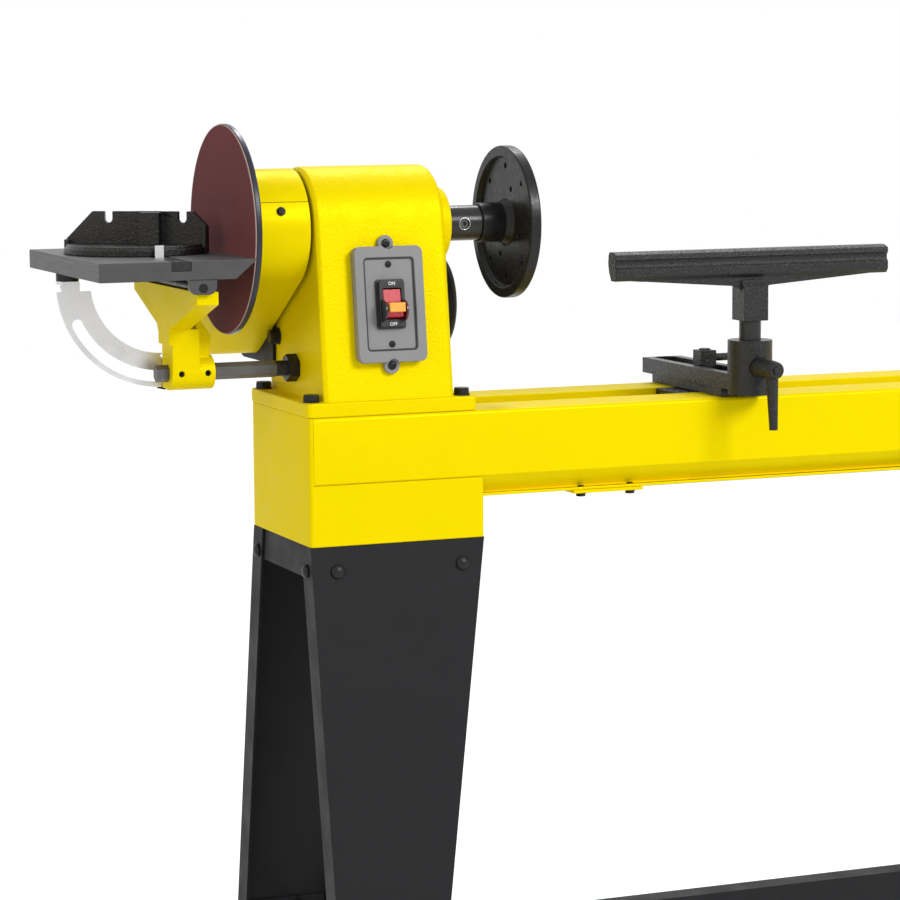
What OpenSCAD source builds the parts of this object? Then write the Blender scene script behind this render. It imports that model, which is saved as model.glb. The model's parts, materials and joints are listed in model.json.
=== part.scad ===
// Floor-standing wood lathe with an outboard disc sander, drawn as the separate pieces it is built from.
// Drawn about one datum: x = 0 at the abrasive's face, y = 0 at the spindle axis, z = 0 at the bed's top.
// place() moves the datum, so that the origin lies on the floor under the middle of the machine.
// +X runs to the tailstock, +Y back and +Z up.

/* [Bed] */
// Length of the bed over its end plates
bed_length = 1440; // [1300:1:1800]
// Width over both rails
bed_width = 171; // [160:1:190]
// Width of the open slot between the rails
bed_slot = 58; // [50:1:64]
// Height of a rail's upright outer face
rail_face = 64; // [50:1:72]
// Inward run of the bevel under the outer face
rail_bevel = 15; // [10:1:22]
// Height of that bevel
rail_bevel_height = 18.5; // [14:1:24]
// Sheet thickness of the rails
rail_sheet = 3; // [2:0.5:4]
// Depth of the lip turned down at the slot
rail_lip = 14; // [10:1:20]
// First tie plate's distance from the headstock end
tie_offset = 316; // [260:1:420]
// Length of a tie plate along the bed
tie_length = 76; // [60:1:110]

/* [Bed brackets] */
// Length of a bracket under the bed
bracket_length = 181; // [150:1:200]
// Depth from the bed top to the underside of a bracket
bracket_depth = 125; // [110:1:150]
// Plate thickness of a bracket
bracket_sheet = 4; // [3:0.5:6]

/* [Stand] */
// Height of the legs
leg_height = 700; // [500:1:800]
// Outward run of the legs for each unit of height
leg_splay = 0.176; // [0.08:0.001:0.2]
// Width of a leg panel at its foot
leg_foot_width = 54; // [44:1:90]
// Inward lean of a panel's outer edge, top to foot
leg_edge_lean = 1; // [0:1:30]
// Sheet thickness of the legs
leg_sheet = 2.5; // [2:0.5:4]
// Depth of the flanges along a panel's edges
leg_flange = 27; // [20:1:36]
// Diameter of the hole in a foot tab for a floor bolt
floor_hole = 11; // [8:0.5:13]
// Height of the stretcher's top above the floor
stretcher_height = 292; // [200:1:400]
// Height of the stretcher channel
stretcher_web = 50; // [36:1:80]

/* [Headstock] */
// Height of the spindle axis above the bed
centre_height = 178; // [170:1:190]
// Distance from the abrasive face to the casting
casting_start = 74; // [72:0.5:78]
// Width of the casting along the bed
casting_width = 134.5; // [130:0.5:150]
// Outer radius of the arched top
arch_radius = 59; // [54:0.5:64]
// Width of the casting across the bed at its foot
casting_foot = 161; // [150:1:168]
// Radius of the rounded edges of the casting
casting_edge = 4; // [2:0.5:8]
// Wall thickness of the casting
casting_wall = 9; // [6:0.5:12]
// Thickness of the end walls that carry the bearings
end_wall = 18; // [17:0.5:24]
// Height of the foot plate
foot_plate = 14; // [10:0.5:18]
// Length of the foot plate along the bed
foot_plate_length = 175.5; // [170:0.5:200]
// Length of the right bearing boss outside the casting
nose_boss = 17; // [14:0.5:22]
// Width across flats of the machine bolts' heads
bolt_head = 14; // [13:1:17]

/* [Spindle] */
// Diameter of the bearing seats
journal = 30; // [26:1:34]
// Outer diameter of the bearings
bearing_outer = 62; // [56:1:66]
// Width of a bearing
bearing_width = 16; // [12:1:16]
// Running clearance on radius of shafts in their bores
running_gap = 0.04; // [0.02:0.01:0.08]
// Diameter of the spindle nose
nose = 35; // [32:1:37]
// Length of the plain nose outside the boss
nose_length = 39.5; // [30:0.5:60]

/* [Faceplate] */
// Diameter of the faceplate
faceplate = 152; // [120:1:160]
// Thickness of its rim
faceplate_rim = 11.5; // [9:0.5:16]
// Diameter of its hub
faceplate_hub = 39.5; // [38:0.5:50]
// Pitch circle of the outer screw holes
screw_circle = 112; // [100:1:116]
// Diameter of the screw holes
screw_hole = 5.2; // [4:0.1:7]
// Number of outer screw holes
screw_count = 8; // [4:1:12]

/* [Belt drive] */
// Distance of the motor axis behind the spindle axis
motor_back = 120; // [118:1:124]
// Distance of the motor axis below the spindle axis
motor_drop = 87; // [80:1:95]
// Radius of the belt guard round the spindle
guard_radius = 57.5; // [56:0.5:60]
// Radius of the belt guard round the motor shaft
guard_tail = 45; // [44.5:0.5:50]
// Wall thickness of the belt guard
guard_wall = 3; // [2:0.5:3]
// Height of the guard's seam above the spindle axis
seam_height = 27; // [15:1:35]
// Smallest radius of the spindle pulley
spindle_step = 29; // [28:0.5:29.5]
// Smallest radius of the motor pulley
motor_step = 19; // [18:0.5:20]
// Growth of radius from one pulley step to the next
step_growth = 7; // [6:0.5:7]
// Width of one pulley step
step_width = 11.5; // [11:0.5:12]
// Step that carries the belt, counted from the disc
belt_step = 1; // [0:1:2]

/* [Motor] */
// Radius of the motor body
motor_radius = 54; // [50:1:56]
// Length of the ribbed motor body
motor_length = 170; // [130:1:200]
// Thickness of the motor mounting plate
mount_plate = 3.5; // [3:0.5:5]

/* [Switch] */
// Width of the switch plate
switch_width = 70.5; // [64:0.5:80]
// Height of the switch plate
switch_height = 112; // [106:1:120]
// Thickness of the switch plate
switch_depth = 11; // [8:0.5:13]
// Height of the plate's middle above the bed
switch_level = 105; // [95:1:108]
// Width of the switch body
rocker_body_width = 26; // [24:0.5:30]
// Height of the switch body
rocker_body_height = 44; // [40:1:50]
// Turn of the rocker from off to on
rocker_turn = 14; // [10:1:16]

/* [Disc sander] */
// Diameter of the sanding disc
disc = 203; // [190:1:210]
// Thickness of the disc with its abrasive
disc_depth = 7; // [6:0.5:7.5]
// Thickness of the abrasive sheet
abrasive = 1.2; // [0.8:0.1:2]
// Length of the table along the spindle
table_length = 152; // [140:1:170]
// Width of the table across the bed
table_width = 249; // [230:1:260]
// Thickness of the table
table_depth = 18; // [16:0.5:22]
// Height of the table top below the spindle axis
table_drop = 22; // [20:0.5:26]
// Gap between the table and the abrasive
table_gap = 4; // [3:0.5:6]
// Table's middle behind the spindle plane
table_shift = 10.5; // [5:0.5:15]
// Distance of the mitre slot from the abrasive face
mitre_slot_x = 77; // [75:1:82]
// Width of the mitre slot
mitre_slot = 19; // [16:0.5:20]
// Depth of the mitre slot
mitre_slot_depth = 9.5; // [8:0.5:10]
// Width across flats of the hexagon bar
hex_bar_flats = 14.5; // [12:0.5:16]
// Length of the hexagon bar
hex_bar_length = 121.5; // [118:0.5:122]
// Height of the hexagon bar above the bed
bar_level = 41; // [38:1:44]
// Diameter of the bracket's hub on the bar
hub = 33; // [30:0.5:34]
// Largest tilt of the table
table_tilt = 45; // [30:1:50]
// Outer radius of the tilt quadrant
quadrant_outer = 104; // [100:1:106]
// Inner radius of the tilt quadrant
quadrant_inner = 71; // [68:1:74]
// Sheet thickness of the quadrant
quadrant_sheet = 3.5; // [2.5:0.5:4]
// Radius of the mitre gauge's base
mitre_radius = 70; // [60:1:72]
// Height of the mitre gauge's fence above the table
fence_height = 40; // [32:1:48]
// Swing of the mitre gauge from square, as it stands
mitre_angle = 33; // [0:1:40]

/* [Tool rest] */
// Distance of the tool rest's post from the abrasive face
rest_x = 521; // [480:1:700]
// Distance of the post in front of the spindle plane
rest_front = 100; // [98:1:110]
// Length of the tool rest's blade
blade = 305; // [240:1:360]
// Height of the blade's top above the bed
blade_level = 150.5; // [146:0.5:165]
// Depth of the blade at its ends
blade_end = 28.5; // [24:0.5:32]
// Depth of the blade over the stem
blade_middle = 37; // [34:0.5:44]
// Diameter of the post
post = 22; // [19:0.5:24]
// Diameter of the banjo's boss
boss = 45; // [40:0.5:50]
// Height of the boss's top above the bed
boss_level = 59; // [54:0.5:62]
// Thickness of the banjo's slotted plate
banjo_plate = 16; // [13:0.5:18]
// Height of the plate's top above the bed
banjo_level = 25; // [22:0.5:27]
// Distance of the plate's rear end behind the spindle plane
banjo_back = 101; // [92:1:120]

/* [Tailstock] */
// Distance of the tailstock's middle from the abrasive face
tailstock_x = 1310; // [1200:1:1340]
// Length of the tailstock's foot
tailstock_foot = 130; // [110:1:150]
// Diameter of the barrel
barrel = 62; // [58:1:70]
// Length of the barrel
barrel_length = 150; // [140:1:160]
// Diameter of the quill
quill_size = 38; // [32:1:42]
// Travel of the quill
quill_travel = 50; // [30:1:60]
// Diameter of the handwheel
wheel = 125; // [100:1:140]

/* [Hidden] */

// Smaller sizes
rail_corner = 4;
tie_bolt_spacing = 54;
foot_sheet = 5;
dome_head = 14;
leg_setback = 1;
notch_shift = 9;
fence_cut = 27;
bracket_seam = 1.2;
side_bolt_inset = 16;
cross_hole = 10;
foot_tab = 42;
top_plate_height = 32;
stretcher_depth = 27;
hub_length = 27;
cowl_length = 32;
motor_shaft_radius = 7;
pivot_pin = 4;
stem = 27;
stem_height = 35;
wheel_rim = 14;
rest_lever = 60;
clamp_lever = 62;
rail_flange = 9.5;
tie_sheet = 3;
rib_count = 32;
step_count = 4;

// Paint and metal colours
yellow = [0.97, 0.9, 0.05];
charcoal = [0.2, 0.2, 0.21];
black = [0.1, 0.1, 0.1];
steel = [0.7, 0.71, 0.73];
iron = [0.42, 0.42, 0.43];

// Smoothness of round surfaces
$fn = 64;
// Gap between pieces that touch or slide flat on each other
slide_gap = 0.3;
// Small overlap that joins two shapes of one solid
join = 1;

// Levels and places along the machine
bed_start = casting_start - 17.6;
bed_end = bed_start + bed_length;
rail_depth = rail_face + rail_bevel_height + rail_sheet;
leg_top = -bracket_depth;
floor_level = leg_top - leg_height;
table_left = -table_gap - table_length;
pivot_x = -56;
middle = (min(table_left, pivot_x - quadrant_outer) + bed_end) / 2;
casting_end = casting_start + casting_width;
table_top = centre_height - table_drop;
half_slot = bed_slot / 2;
half_bed = bed_width / 2;

// Moves the drawing's datum onto the part's origin
module place() translate([-middle, 0, -floor_level]) children();

// Turns a local x, y drawing into Y and Z, extruded along X
module across() rotate([90, 0, 90]) children();

// Turns a local x, y drawing into X and Z, extruded to the front
module along() rotate([90, 0, 0]) children();

// Revolved about the X axis, from points of radius and x
module turned(points) across() rotate_extrude($fn = 96) polygon(points);

// Revolved about the Y axis, from points of radius and y
module turned_back(points) rotate([-90, 0, 0]) rotate_extrude() polygon(points);

function arc(centre, r, from, to, steps) =
  [for (i = [0:steps]) let (a = from + (to - from) * i / steps) centre + r * [cos(a), sin(a)]];

// Points of a rectangle with rounded corners about the origin
function rounded(w, h, r) = concat(
  arc([w / 2 - r, h / 2 - r], r, 0, 90, 6), arc([r - w / 2, h / 2 - r], r, 90, 180, 6),
  arc([r - w / 2, r - h / 2], r, 180, 270, 6), arc([w / 2 - r, r - h / 2], r, 270, 360, 6));

// Turns an upright shape so that it points right, or back
module right() rotate([0, 90, 0]) children();

module back() rotate([-90, 0, 0]) children();

// A hexagon prism of the given width across flats, upright
module hexagon(flats, h) cylinder(d = flats / cos(30), h = h, $fn = 6);

// A hexagon bolt head with its chamfered top, upright on z = 0
module hex_head(flats, h) {
  intersection() {
    hexagon(flats, h);
    cylinder(r1 = flats * 0.72, r2 = flats * 0.5, h = h);
  }
}

// Bed and stand

// Section of one rail in Y and Z, for the side whose outer face has positive y
function rail_section() = concat(
  [[half_slot, -rail_lip], [half_slot, 0]],
  arc([half_bed - rail_corner, -rail_corner], rail_corner, 90, 0, 6),
  [
    [half_bed, -rail_face],
    [half_bed - rail_bevel, -rail_face - rail_bevel_height],
    [half_bed - rail_bevel + rail_flange, -rail_face - rail_bevel_height],
    [half_bed - rail_bevel + rail_flange, -rail_depth],
    [half_bed - rail_bevel - rail_bevel_inset, -rail_depth],
    [half_bed - rail_sheet, -rail_face - rail_sheet * 0.3],
    [half_bed - rail_sheet, -rail_sheet],
    [half_slot + rail_sheet, -rail_sheet],
    [half_slot + rail_sheet, -rail_lip]
  ]);
rail_bevel_inset = rail_sheet + rail_bevel * rail_sheet / rail_bevel_height;

// The rear rail, with the holes for the headstock's bolts and the tie plates' bolts
module rail() color(yellow) {
  difference() {
    translate([bed_start + bracket_sheet, 0, 0]) across()
    linear_extrude(bed_length - 2 * bracket_sheet) polygon(rail_section());
    for (x = foot_bolt_x) {
      translate([x, foot_bolt_y, -rail_sheet - join]) cylinder(r = bolt_hole, h = rail_sheet + 2 * join);
    }
    for (x = tie_places, end = [-1, 1]) {
      translate([x + end * tie_bolt_spacing / 2, tie_bolt_y, -rail_depth - join])
      cylinder(r = 3.2, h = rail_sheet + 2 * join);
    }
  }
}

module front_rail() place() mirror([0, 1, 0]) rail();

module rear_rail() place() rail();

tie_places = [bed_start + tie_offset, bed_end - tie_offset];
tie_bolt_y = half_bed - rail_bevel + rail_flange / 2 + 0.5;

module bed_tie_plates() place() color(yellow) {
  for (x = tie_places) {
    difference() {
      translate([x - tie_length / 2, -tie_bolt_y - 8, -rail_depth - tie_sheet])
      cube([tie_length, 2 * tie_bolt_y + 16, tie_sheet]);
      for (end = [-1, 1], side = [-1, 1]) {
        translate([x + end * tie_bolt_spacing / 2, side * tie_bolt_y, -rail_depth - tie_sheet - 1])
        cylinder(r = 3.2, h = tie_sheet + 2);
      }
    }
  }
}

// Bracket that closes the bed's end and stands on a leg, drawn for the headstock end
module bed_bracket() color(yellow) {
  shelf = -rail_depth;
  height = bracket_depth + shelf;
  seam = rail_face + bracket_seam;
  reach = bracket_sheet + 1;
  drop = reach * rail_bevel_height / rail_bevel;
  difference() {
    translate([bed_start, 0, -bracket_depth]) linear_extrude(bracket_depth)
    translate([bracket_length / 2, 0]) polygon(rounded(bracket_length, bed_width, bracket_sheet));
    // Space of the rails, down to the shelf that carries them
    translate([bed_start + bracket_sheet, bracket_sheet - half_bed, shelf])
    cube([bracket_length, bed_width - 2 * bracket_sheet, -shelf + 1]);
    translate([bed_start + bracket_sheet, 0, 0]) across() linear_extrude(bracket_length)
    polygon([
      [-half_bed - 1, 1], [-half_bed - 1, -seam], [-half_bed, -seam], [reach - half_bed, -seam - drop],
      [half_bed - reach, -seam - drop], [half_bed, -seam], [half_bed + 1, -seam], [half_bed + 1, 1]
    ]);
    // Hollow under the shelf, open towards the middle of the bed
    translate([bed_start + bracket_sheet, bracket_sheet - half_bed, bracket_sheet - bracket_depth])
    cube([bracket_length, bed_width - 2 * bracket_sheet, height - 2 * bracket_sheet]);
  }
}

module left_bed_bracket() place() bed_bracket();

module right_bed_bracket() place() translate([bed_start + bed_end, 0, 0]) mirror([1, 0, 0]) bed_bracket();

// Legs

leg_angle = atan(leg_splay);
slope_height = leg_height / cos(leg_angle);
panel_front = half_bed - leg_setback;

// A panel's outer face from the spindle plane at a level
function panel_y(z) = panel_front + (leg_top - z) * leg_splay;

// Edges of a panel at a distance down its slope, from the bracket's outer end
function outer_edge(s) = leg_edge_lean * s / slope_height;
function inner_edge(s) =
  bracket_length + (leg_edge_lean + leg_foot_width - bracket_length) * s / slope_height;

// One sheet panel of the left leg at the front, with its flanges and its foot tab
module leg_panel() color(charcoal) {
  over = 20;
  difference() {
    union() {
      intersection() {
        translate([bed_start, -panel_front, leg_top]) rotate([-90 - leg_angle, 0, 0]) union() {
          linear_extrude(leg_sheet) polygon([
            [outer_edge(-over), -over], [inner_edge(-over), -over],
            [inner_edge(slope_height + over), slope_height + over],
            [outer_edge(slope_height + over), slope_height + over]
          ]);
          for (edge = [0, 1]) {
            linear_extrude(leg_flange) polygon([
              for (s = [-over, slope_height + over])
              [edge == 0 ? outer_edge(s) : inner_edge(s) - leg_sheet, s],
              for (s = [slope_height + over, -over])
              [edge == 0 ? outer_edge(s) + leg_sheet : inner_edge(s), s]
            ]);
          }
        }
        translate([bed_start - 50, -2 * half_bed - leg_height, floor_level])
        cube([bracket_length + 100, 2 * half_bed + leg_height, leg_height]);
      }
      translate([bed_start + leg_edge_lean, -panel_y(floor_level) + leg_sheet / 2, floor_level])
      cube([leg_foot_width, foot_tab, foot_sheet]);
    }
    translate([foot_hole_x, -foot_hole_y, floor_level - 1]) cylinder(d = floor_hole, h = foot_sheet + 2);
    for (x = front_bolt_x) {
      translate([x, -panel_y(top_bolt_z), top_bolt_z]) rotate([-90 - leg_angle, 0, 0])
      translate([0, 0, -5]) cylinder(r = 4.1, h = 12);
    }
    side_bolt_axis(-1) cylinder(r = 4.1, h = 12, center = true);
  }
}

// Axis of a bolt through a leg's outer flange
module side_bolt_axis(side) {
  translate([bed_start + outer_edge(24), side * (panel_y(top_bolt_z) - side_bolt_inset), top_bolt_z])
  rotate([0, -90, 0]) children();
}
foot_hole_x = bed_start + leg_edge_lean + leg_foot_width / 2;
foot_hole_y = panel_y(floor_level) - foot_tab / 2 - 2;
front_bolt_x = [bed_start + 26, bed_start + bracket_length - 25];
top_bolt_z = leg_top - 24;

module other_end() translate([bed_start + bed_end, 0, 0]) mirror([1, 0, 0]) children();

module left_leg_front() place() leg_panel();

module left_leg_rear() place() mirror([0, 1, 0]) leg_panel();

module right_leg_front() place() other_end() leg_panel();

module right_leg_rear() place() other_end() mirror([0, 1, 0]) leg_panel();

// Inner half-width between the front and rear panels' sheets at a level
function panel_inside(z) = panel_y(z) - leg_sheet / cos(leg_angle);

// Angle plates that join a leg's panels under the bracket, drawn for the left leg
module top_plate_pair() {
  lower = leg_top - top_plate_height;
  depth_top = panel_inside(leg_top) - slide_gap;
  depth_low = panel_inside(lower) - slide_gap;
  for (end = [0, 1]) {
    plate_x = end == 0
      ? bed_start + outer_edge(top_plate_height) + leg_sheet + 0.1
      : bed_start + inner_edge(top_plate_height) - 2 * leg_sheet - 0.4;
    difference() {
      translate([plate_x, 0, 0]) across() linear_extrude(leg_sheet)
      polygon([[-depth_top, leg_top], [depth_top, leg_top], [depth_top, lower], [-depth_top, lower]]);
      for (side = [-1, 1]) side_bolt_axis(side) cylinder(r = 4.1, h = 20, center = true);
    }
    translate([end == 0 ? plate_x : plate_x + leg_sheet - 22, -depth_top, leg_top - leg_sheet])
    cube([22, 2 * depth_top, leg_sheet]);
    // Lugs that lie behind the leaning panels and take the front bolts
    for (side = [-1, 1]) {
      scale([1, side, 1]) difference() {
        translate([end == 0 ? plate_x : plate_x + leg_sheet - 40, panel_y(leg_top), leg_top])
        rotate([-90 + leg_angle, 0, 0]) translate([0, 0, -leg_sheet - 0.3 - leg_sheet])
        cube([40, top_plate_height, leg_sheet]);
        front_bolt_axis(front_bolt_x[end]) cylinder(r = 4.1, h = 24, center = true);
      }
    }
  }
}

module leg_top_plates() place() color(charcoal) {
  top_plate_pair();
  other_end() top_plate_pair();
}

stretcher_top = floor_level + stretcher_height;

// Cross brace between a leg's panels, which carries the stretcher, drawn for the left leg
module cross_brace() {
  half = panel_inside(stretcher_top) - slide_gap;
  slope = (leg_top - stretcher_top) / cos(leg_angle);
  left = bed_start + outer_edge(slope + stretcher_web) + leg_sheet + 2;
  right = bed_start + inner_edge(slope + stretcher_web) - leg_sheet - 2;
  translate([right - 30, -half, stretcher_top - stretcher_web]) cube([30, 2 * half, leg_sheet]);
  translate([right - 30, -half, stretcher_top - stretcher_web]) cube([leg_sheet, 2 * half, stretcher_web]);
  for (side = [-1, 1]) {
    translate([left, side > 0 ? half - leg_sheet : -half, stretcher_top - stretcher_web])
    cube([right - left, leg_sheet, stretcher_web]);
  }
}

module leg_cross_braces() place() color(charcoal) {
  cross_brace();
  other_end() cross_brace();
}

module stretcher() place() color(charcoal) {
  slope = (leg_top - stretcher_top) / cos(leg_angle);
  start = bed_start + inner_edge(slope + stretcher_web) - 2 * leg_sheet - 29.5 + leg_sheet;
  length = bed_start + bed_end - 2 * start;
  translate([start, 0, stretcher_top]) across() linear_extrude(length) polygon([
    [-stretcher_depth / 2, 0], [stretcher_depth / 2, 0], [stretcher_depth / 2, -leg_sheet],
    [leg_sheet - stretcher_depth / 2, -leg_sheet],
    [leg_sheet - stretcher_depth / 2, 2 * leg_sheet - stretcher_web],
    [stretcher_depth / 2, 2 * leg_sheet - stretcher_web],
    [stretcher_depth / 2, leg_sheet - stretcher_web + 0.1],
    [-stretcher_depth / 2, leg_sheet - stretcher_web + 0.1]
  ]);
}

// A dome bolt whose head stands on z = 0 and whose shank runs down
module dome_bolt(shank) {
  head = dome_head / 2;
  rotate_extrude($fn = 32) polygon(concat(
    [[0, -shank], [4, -shank], [4, 0]],
    [for (i = [0:5]) [head * cos(15 * i), 0.8 + head * 0.55 * sin(15 * i)]],
    [[0, 0.8 + head * 0.55]]));
}

// Outward axis of a top bolt on the rear panel
module front_bolt_axis(x) {
  translate([x, panel_y(top_bolt_z), top_bolt_z]) rotate([-90 + leg_angle, 0, 0]) children();
}

module leg_bolt_set() {
  for (x = front_bolt_x, side = [-1, 1]) {
    scale([1, side, 1]) front_bolt_axis(x) translate([0, 0, 0.05]) dome_bolt(leg_sheet * 2 + 4);
  }
  for (side = [-1, 1]) {
    side_bolt_axis(side) translate([0, 0, 0.1]) dome_bolt(leg_sheet * 2 + 2);
  }
}

module leg_bolts() place() color(black) {
  leg_bolt_set();
  other_end() leg_bolt_set();
}

// Headstock

lean = atan(casting_foot / 2 / (centre_height - foot_plate))
  - asin(arch_radius / norm([casting_foot / 2, centre_height - foot_plate]));

// Outline of the headstock in Y and Z, drawn inwards by the given distance
function headstock_outline(inset) =
  let (r = arch_radius - inset, foot = casting_foot / 2 - inset / cos(lean))
  concat([[foot, foot_plate - join], [-foot, foot_plate - join]],
    arc([0, centre_height], r, 180 - lean, lean, 20));

// Block with the headstock's outline, shortened at both ends and drawn inwards
module casting_block(shorter, inset) {
  translate([casting_start + shorter, 0, 0]) across() linear_extrude(casting_width - 2 * shorter)
  polygon(headstock_outline(inset));
}

bar_thread = 7;
left_bearing_x = casting_start + 1.5;
right_bearing_x = casting_end + nose_boss - bearing_width - 3;

module headstock_casting() place() color(yellow) {
  difference() {
    union() {
      hull() {
        casting_block(casting_edge, 0);
        casting_block(0, casting_edge * 0.7);
      }
      // Foot plate, slightly narrower than the bed
      translate([bed_start - 1.4 + foot_plate_length / 2, 0, 0.1]) linear_extrude(foot_plate - 0.1)
      polygon(rounded(foot_plate_length, bed_width - 1, 5));
      // Right bearing boss
      translate([casting_end - join, 0, centre_height]) right()
      cylinder(r1 = bearing_outer / 2 + 8, r2 = bearing_outer / 2 + 5, h = nose_boss + join);
    }
    // Inside of the casting, open at the bottom
    translate([casting_start + end_wall, 0, 0]) across()
    linear_extrude(casting_width - 2 * end_wall) polygon(headstock_outline(casting_wall));
    translate([casting_start + end_wall, casting_wall - casting_foot / 2, -join])
    cube([casting_width - 2 * end_wall, casting_foot - 2 * casting_wall, foot_plate + join]);
    // Bearing seats and the ways through for the spindle
    translate([0, 0, centre_height]) right() {
      translate([0, 0, casting_start - join])
      cylinder(d = bearing_outer, h = left_bearing_x + bearing_width - casting_start + join);
      translate([0, 0, right_bearing_x]) cylinder(d = bearing_outer, h = bearing_width + 5);
      translate([0, 0, casting_start]) cylinder(d = bearing_outer - 10, h = casting_width + nose_boss);
    }
    // Bay in the rear wall in which the motor lies
    translate([casting_start - join, motor_back, motor_level]) right()
    cylinder(r = motor_radius + 1.5, h = casting_width + 2 * join);
    // Threaded hole for the hexagon bar
    translate([casting_start - join, 0, bar_level]) right()
    cylinder(r = bar_thread + 0.05, h = end_wall + 2 * join);
    // Bolt holes of the foot plate
    for (x = foot_bolt_x, side = [-1, 1]) {
      translate([x, side * foot_bolt_y, -join]) cylinder(r = bolt_hole, h = foot_plate + 2 * join);
    }
    // Screwed holes for the motor plate and the switch plate
    for (point = plate_bolts) {
      translate([casting_start - join, point[0], point[1]]) right()
      cylinder(r = bolt_shank + 0.05, h = end_wall);
    }
    on_front_face() {
      for (side = [-1, 1]) {
        translate([0, side * ear_screw, -8]) cylinder(r = 2.3, h = 12);
      }
    }
  }
}
foot_bolt_x = [bed_start + 7.6, casting_end + 11.5];
foot_bolt_y = 70;

module spindle_bearings() place() color(steel) {
  for (x = [left_bearing_x, right_bearing_x]) {
    inner = journal / 2 + running_gap;
    outer = bearing_outer / 2;
    translate([x, 0, centre_height]) turned([
      [inner, 0], [inner + 5, 0], [inner + 5, 1], [outer - 5, 1], [outer - 5, 0], [outer, 0],
      [outer, bearing_width], [outer - 5, bearing_width], [outer - 5, bearing_width - 1],
      [inner + 5, bearing_width - 1], [inner + 5, bearing_width], [inner, bearing_width]
    ]);
  }
}

bolt_shank = 3;
bolt_hole = 3.3;

// A hexagon bolt standing on z = 0 with its washer, the shank running down
module machine_bolt(shank) {
  union() {
    translate([0, 0, 1.6]) hex_head(bolt_head, bolt_head * 0.42);
    cylinder(d = bolt_head * 1.15, h = 1.7);
    translate([0, 0, -shank]) cylinder(r = bolt_shank, h = shank + 1);
  }
}

module machine_bolts() place() color(black) {
  // Headstock to the bed
  for (x = foot_bolt_x, side = [-1, 1]) {
    translate([x, side * foot_bolt_y, foot_plate]) machine_bolt(foot_plate + rail_sheet + 4);
  }
  // Motor plate to the headstock
  for (point = plate_bolts) {
    translate([casting_start - mount_plate, point[0], point[1]]) rotate([0, -90, 0])
    scale([0.85, 0.85, 0.85]) machine_bolt((mount_plate + 8) / 0.85);
  }
  // Tie plates to the rail flanges, heads below
  for (x = tie_places, end = [-1, 1], side = [-1, 1]) {
    translate([x + end * tie_bolt_spacing / 2, side * tie_bolt_y, -rail_depth - tie_sheet])
    rotate([180, 0, 0]) union() {
      translate([0, 0, 0.8]) hex_head(9, 3);
      cylinder(r = 6, h = 1);
      translate([0, 0, -tie_sheet - rail_sheet - 1]) cylinder(r = 3, h = tie_sheet + rail_sheet + 2);
    }
  }
}

// Spindle and what turns with it

disc_back = disc_depth;
guard_start = disc_back + 1.5;
guard_end = casting_start - mount_plate - 0.1;
pulley_start = guard_start + guard_wall + 3;
pulley_length = step_width * step_count;
shaft_seat = 12;
nose_start = casting_end + nose_boss + 0.5;
nose_end = nose_start + nose_length;
hub_end = nose_end + hub_length;

module spindle() place() color(steel) {
  translate([0, 0, centre_height]) difference() {
    turned([
      [0, abrasive + 3.1], [shaft_seat - 3, abrasive + 3.1], [shaft_seat - 3, disc_back + 7],
      [shaft_seat, disc_back + 7], [shaft_seat, pulley_start + pulley_length],
      [shaft_seat + 1.5, pulley_start + pulley_length], [shaft_seat + 1.5, left_bearing_x - 0.5],
      [journal / 2, left_bearing_x - 0.5], [journal / 2, left_bearing_x + bearing_width],
      [journal / 2 + 2.5, left_bearing_x + bearing_width + 0.3],
      [journal / 2 + 2.5, right_bearing_x - 0.3], [journal / 2, right_bearing_x],
      [journal / 2, nose_start - 2], [nose / 2 - 1, nose_start - 2], [nose / 2 - 1, nose_start],
      [nose / 2, nose_start + 1], [nose / 2, nose_end], [nose / 2 - 5, nose_end],
      [nose / 2 - 5, hub_end - 4], [7, hub_end - 4], [5, hub_end - 60], [0, hub_end - 60]
    ]);
    for (depth = [0]) {
      translate([nose_start + nose_length * 0.52, 0, 0]) rotate([90, 0, 0]) translate([0, 0, -nose])
      cylinder(d = cross_hole, h = 2 * nose);
    }
  }
}

groove_depth = 7;
groove_land = 0.75;
groove_floor = 3.6;

// Outline of a stepped V-pulley of radii from first to last, as points of radius and x
function pulley_outline(first, growth) = concat(
  [[0, 0]],
  [for (i = [0:step_count - 1])
    let (r = first + growth * i, x = i * step_width, mid = x + step_width / 2)
    each [
      [r, x], [r, x + groove_land], [r - groove_depth, mid - groove_floor],
      [r - groove_depth, mid + groove_floor], [r, x + step_width - groove_land], [r, x + step_width]
    ]],
  [[0, pulley_length]]);

module stepped_pulley(first, growth, bore) {
  difference() {
    turned(pulley_outline(first, growth));
    right() translate([0, 0, -join]) cylinder(r = bore, h = pulley_length + 2 * join);
  }
}

spindle_large = spindle_step + step_growth * (step_count - 1);

module spindle_pulley() place() color(iron) {
  translate([pulley_start, 0, centre_height])
  stepped_pulley(spindle_large, -step_growth, shaft_seat + 0.05);
}

module motor_pulley() place() color(iron) {
  translate([pulley_start, motor_back, centre_height - motor_drop])
  stepped_pulley(motor_step, step_growth, motor_shaft_radius + 0.05);
}

axis_distance = norm([motor_back, motor_drop]);
axis_angle = atan2(-motor_drop, motor_back);

// Angle between the line of the two axes and a common tangent's normal
function wrap(ra, rb) = acos((ra - rb) / axis_distance);

// A drop shape round the spindle axis and the motor axis
module teardrop(ra, rb) {
  b = wrap(ra, rb);
  polygon(concat(
    arc([0, 0], ra, axis_angle + b, axis_angle - b + 360, 48),
    arc([motor_back, -motor_drop], rb, axis_angle - b, axis_angle + b, 32)));
}

belt_height = 6;
belt_top = 4.5;
belt_foot = 3.4;

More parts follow.
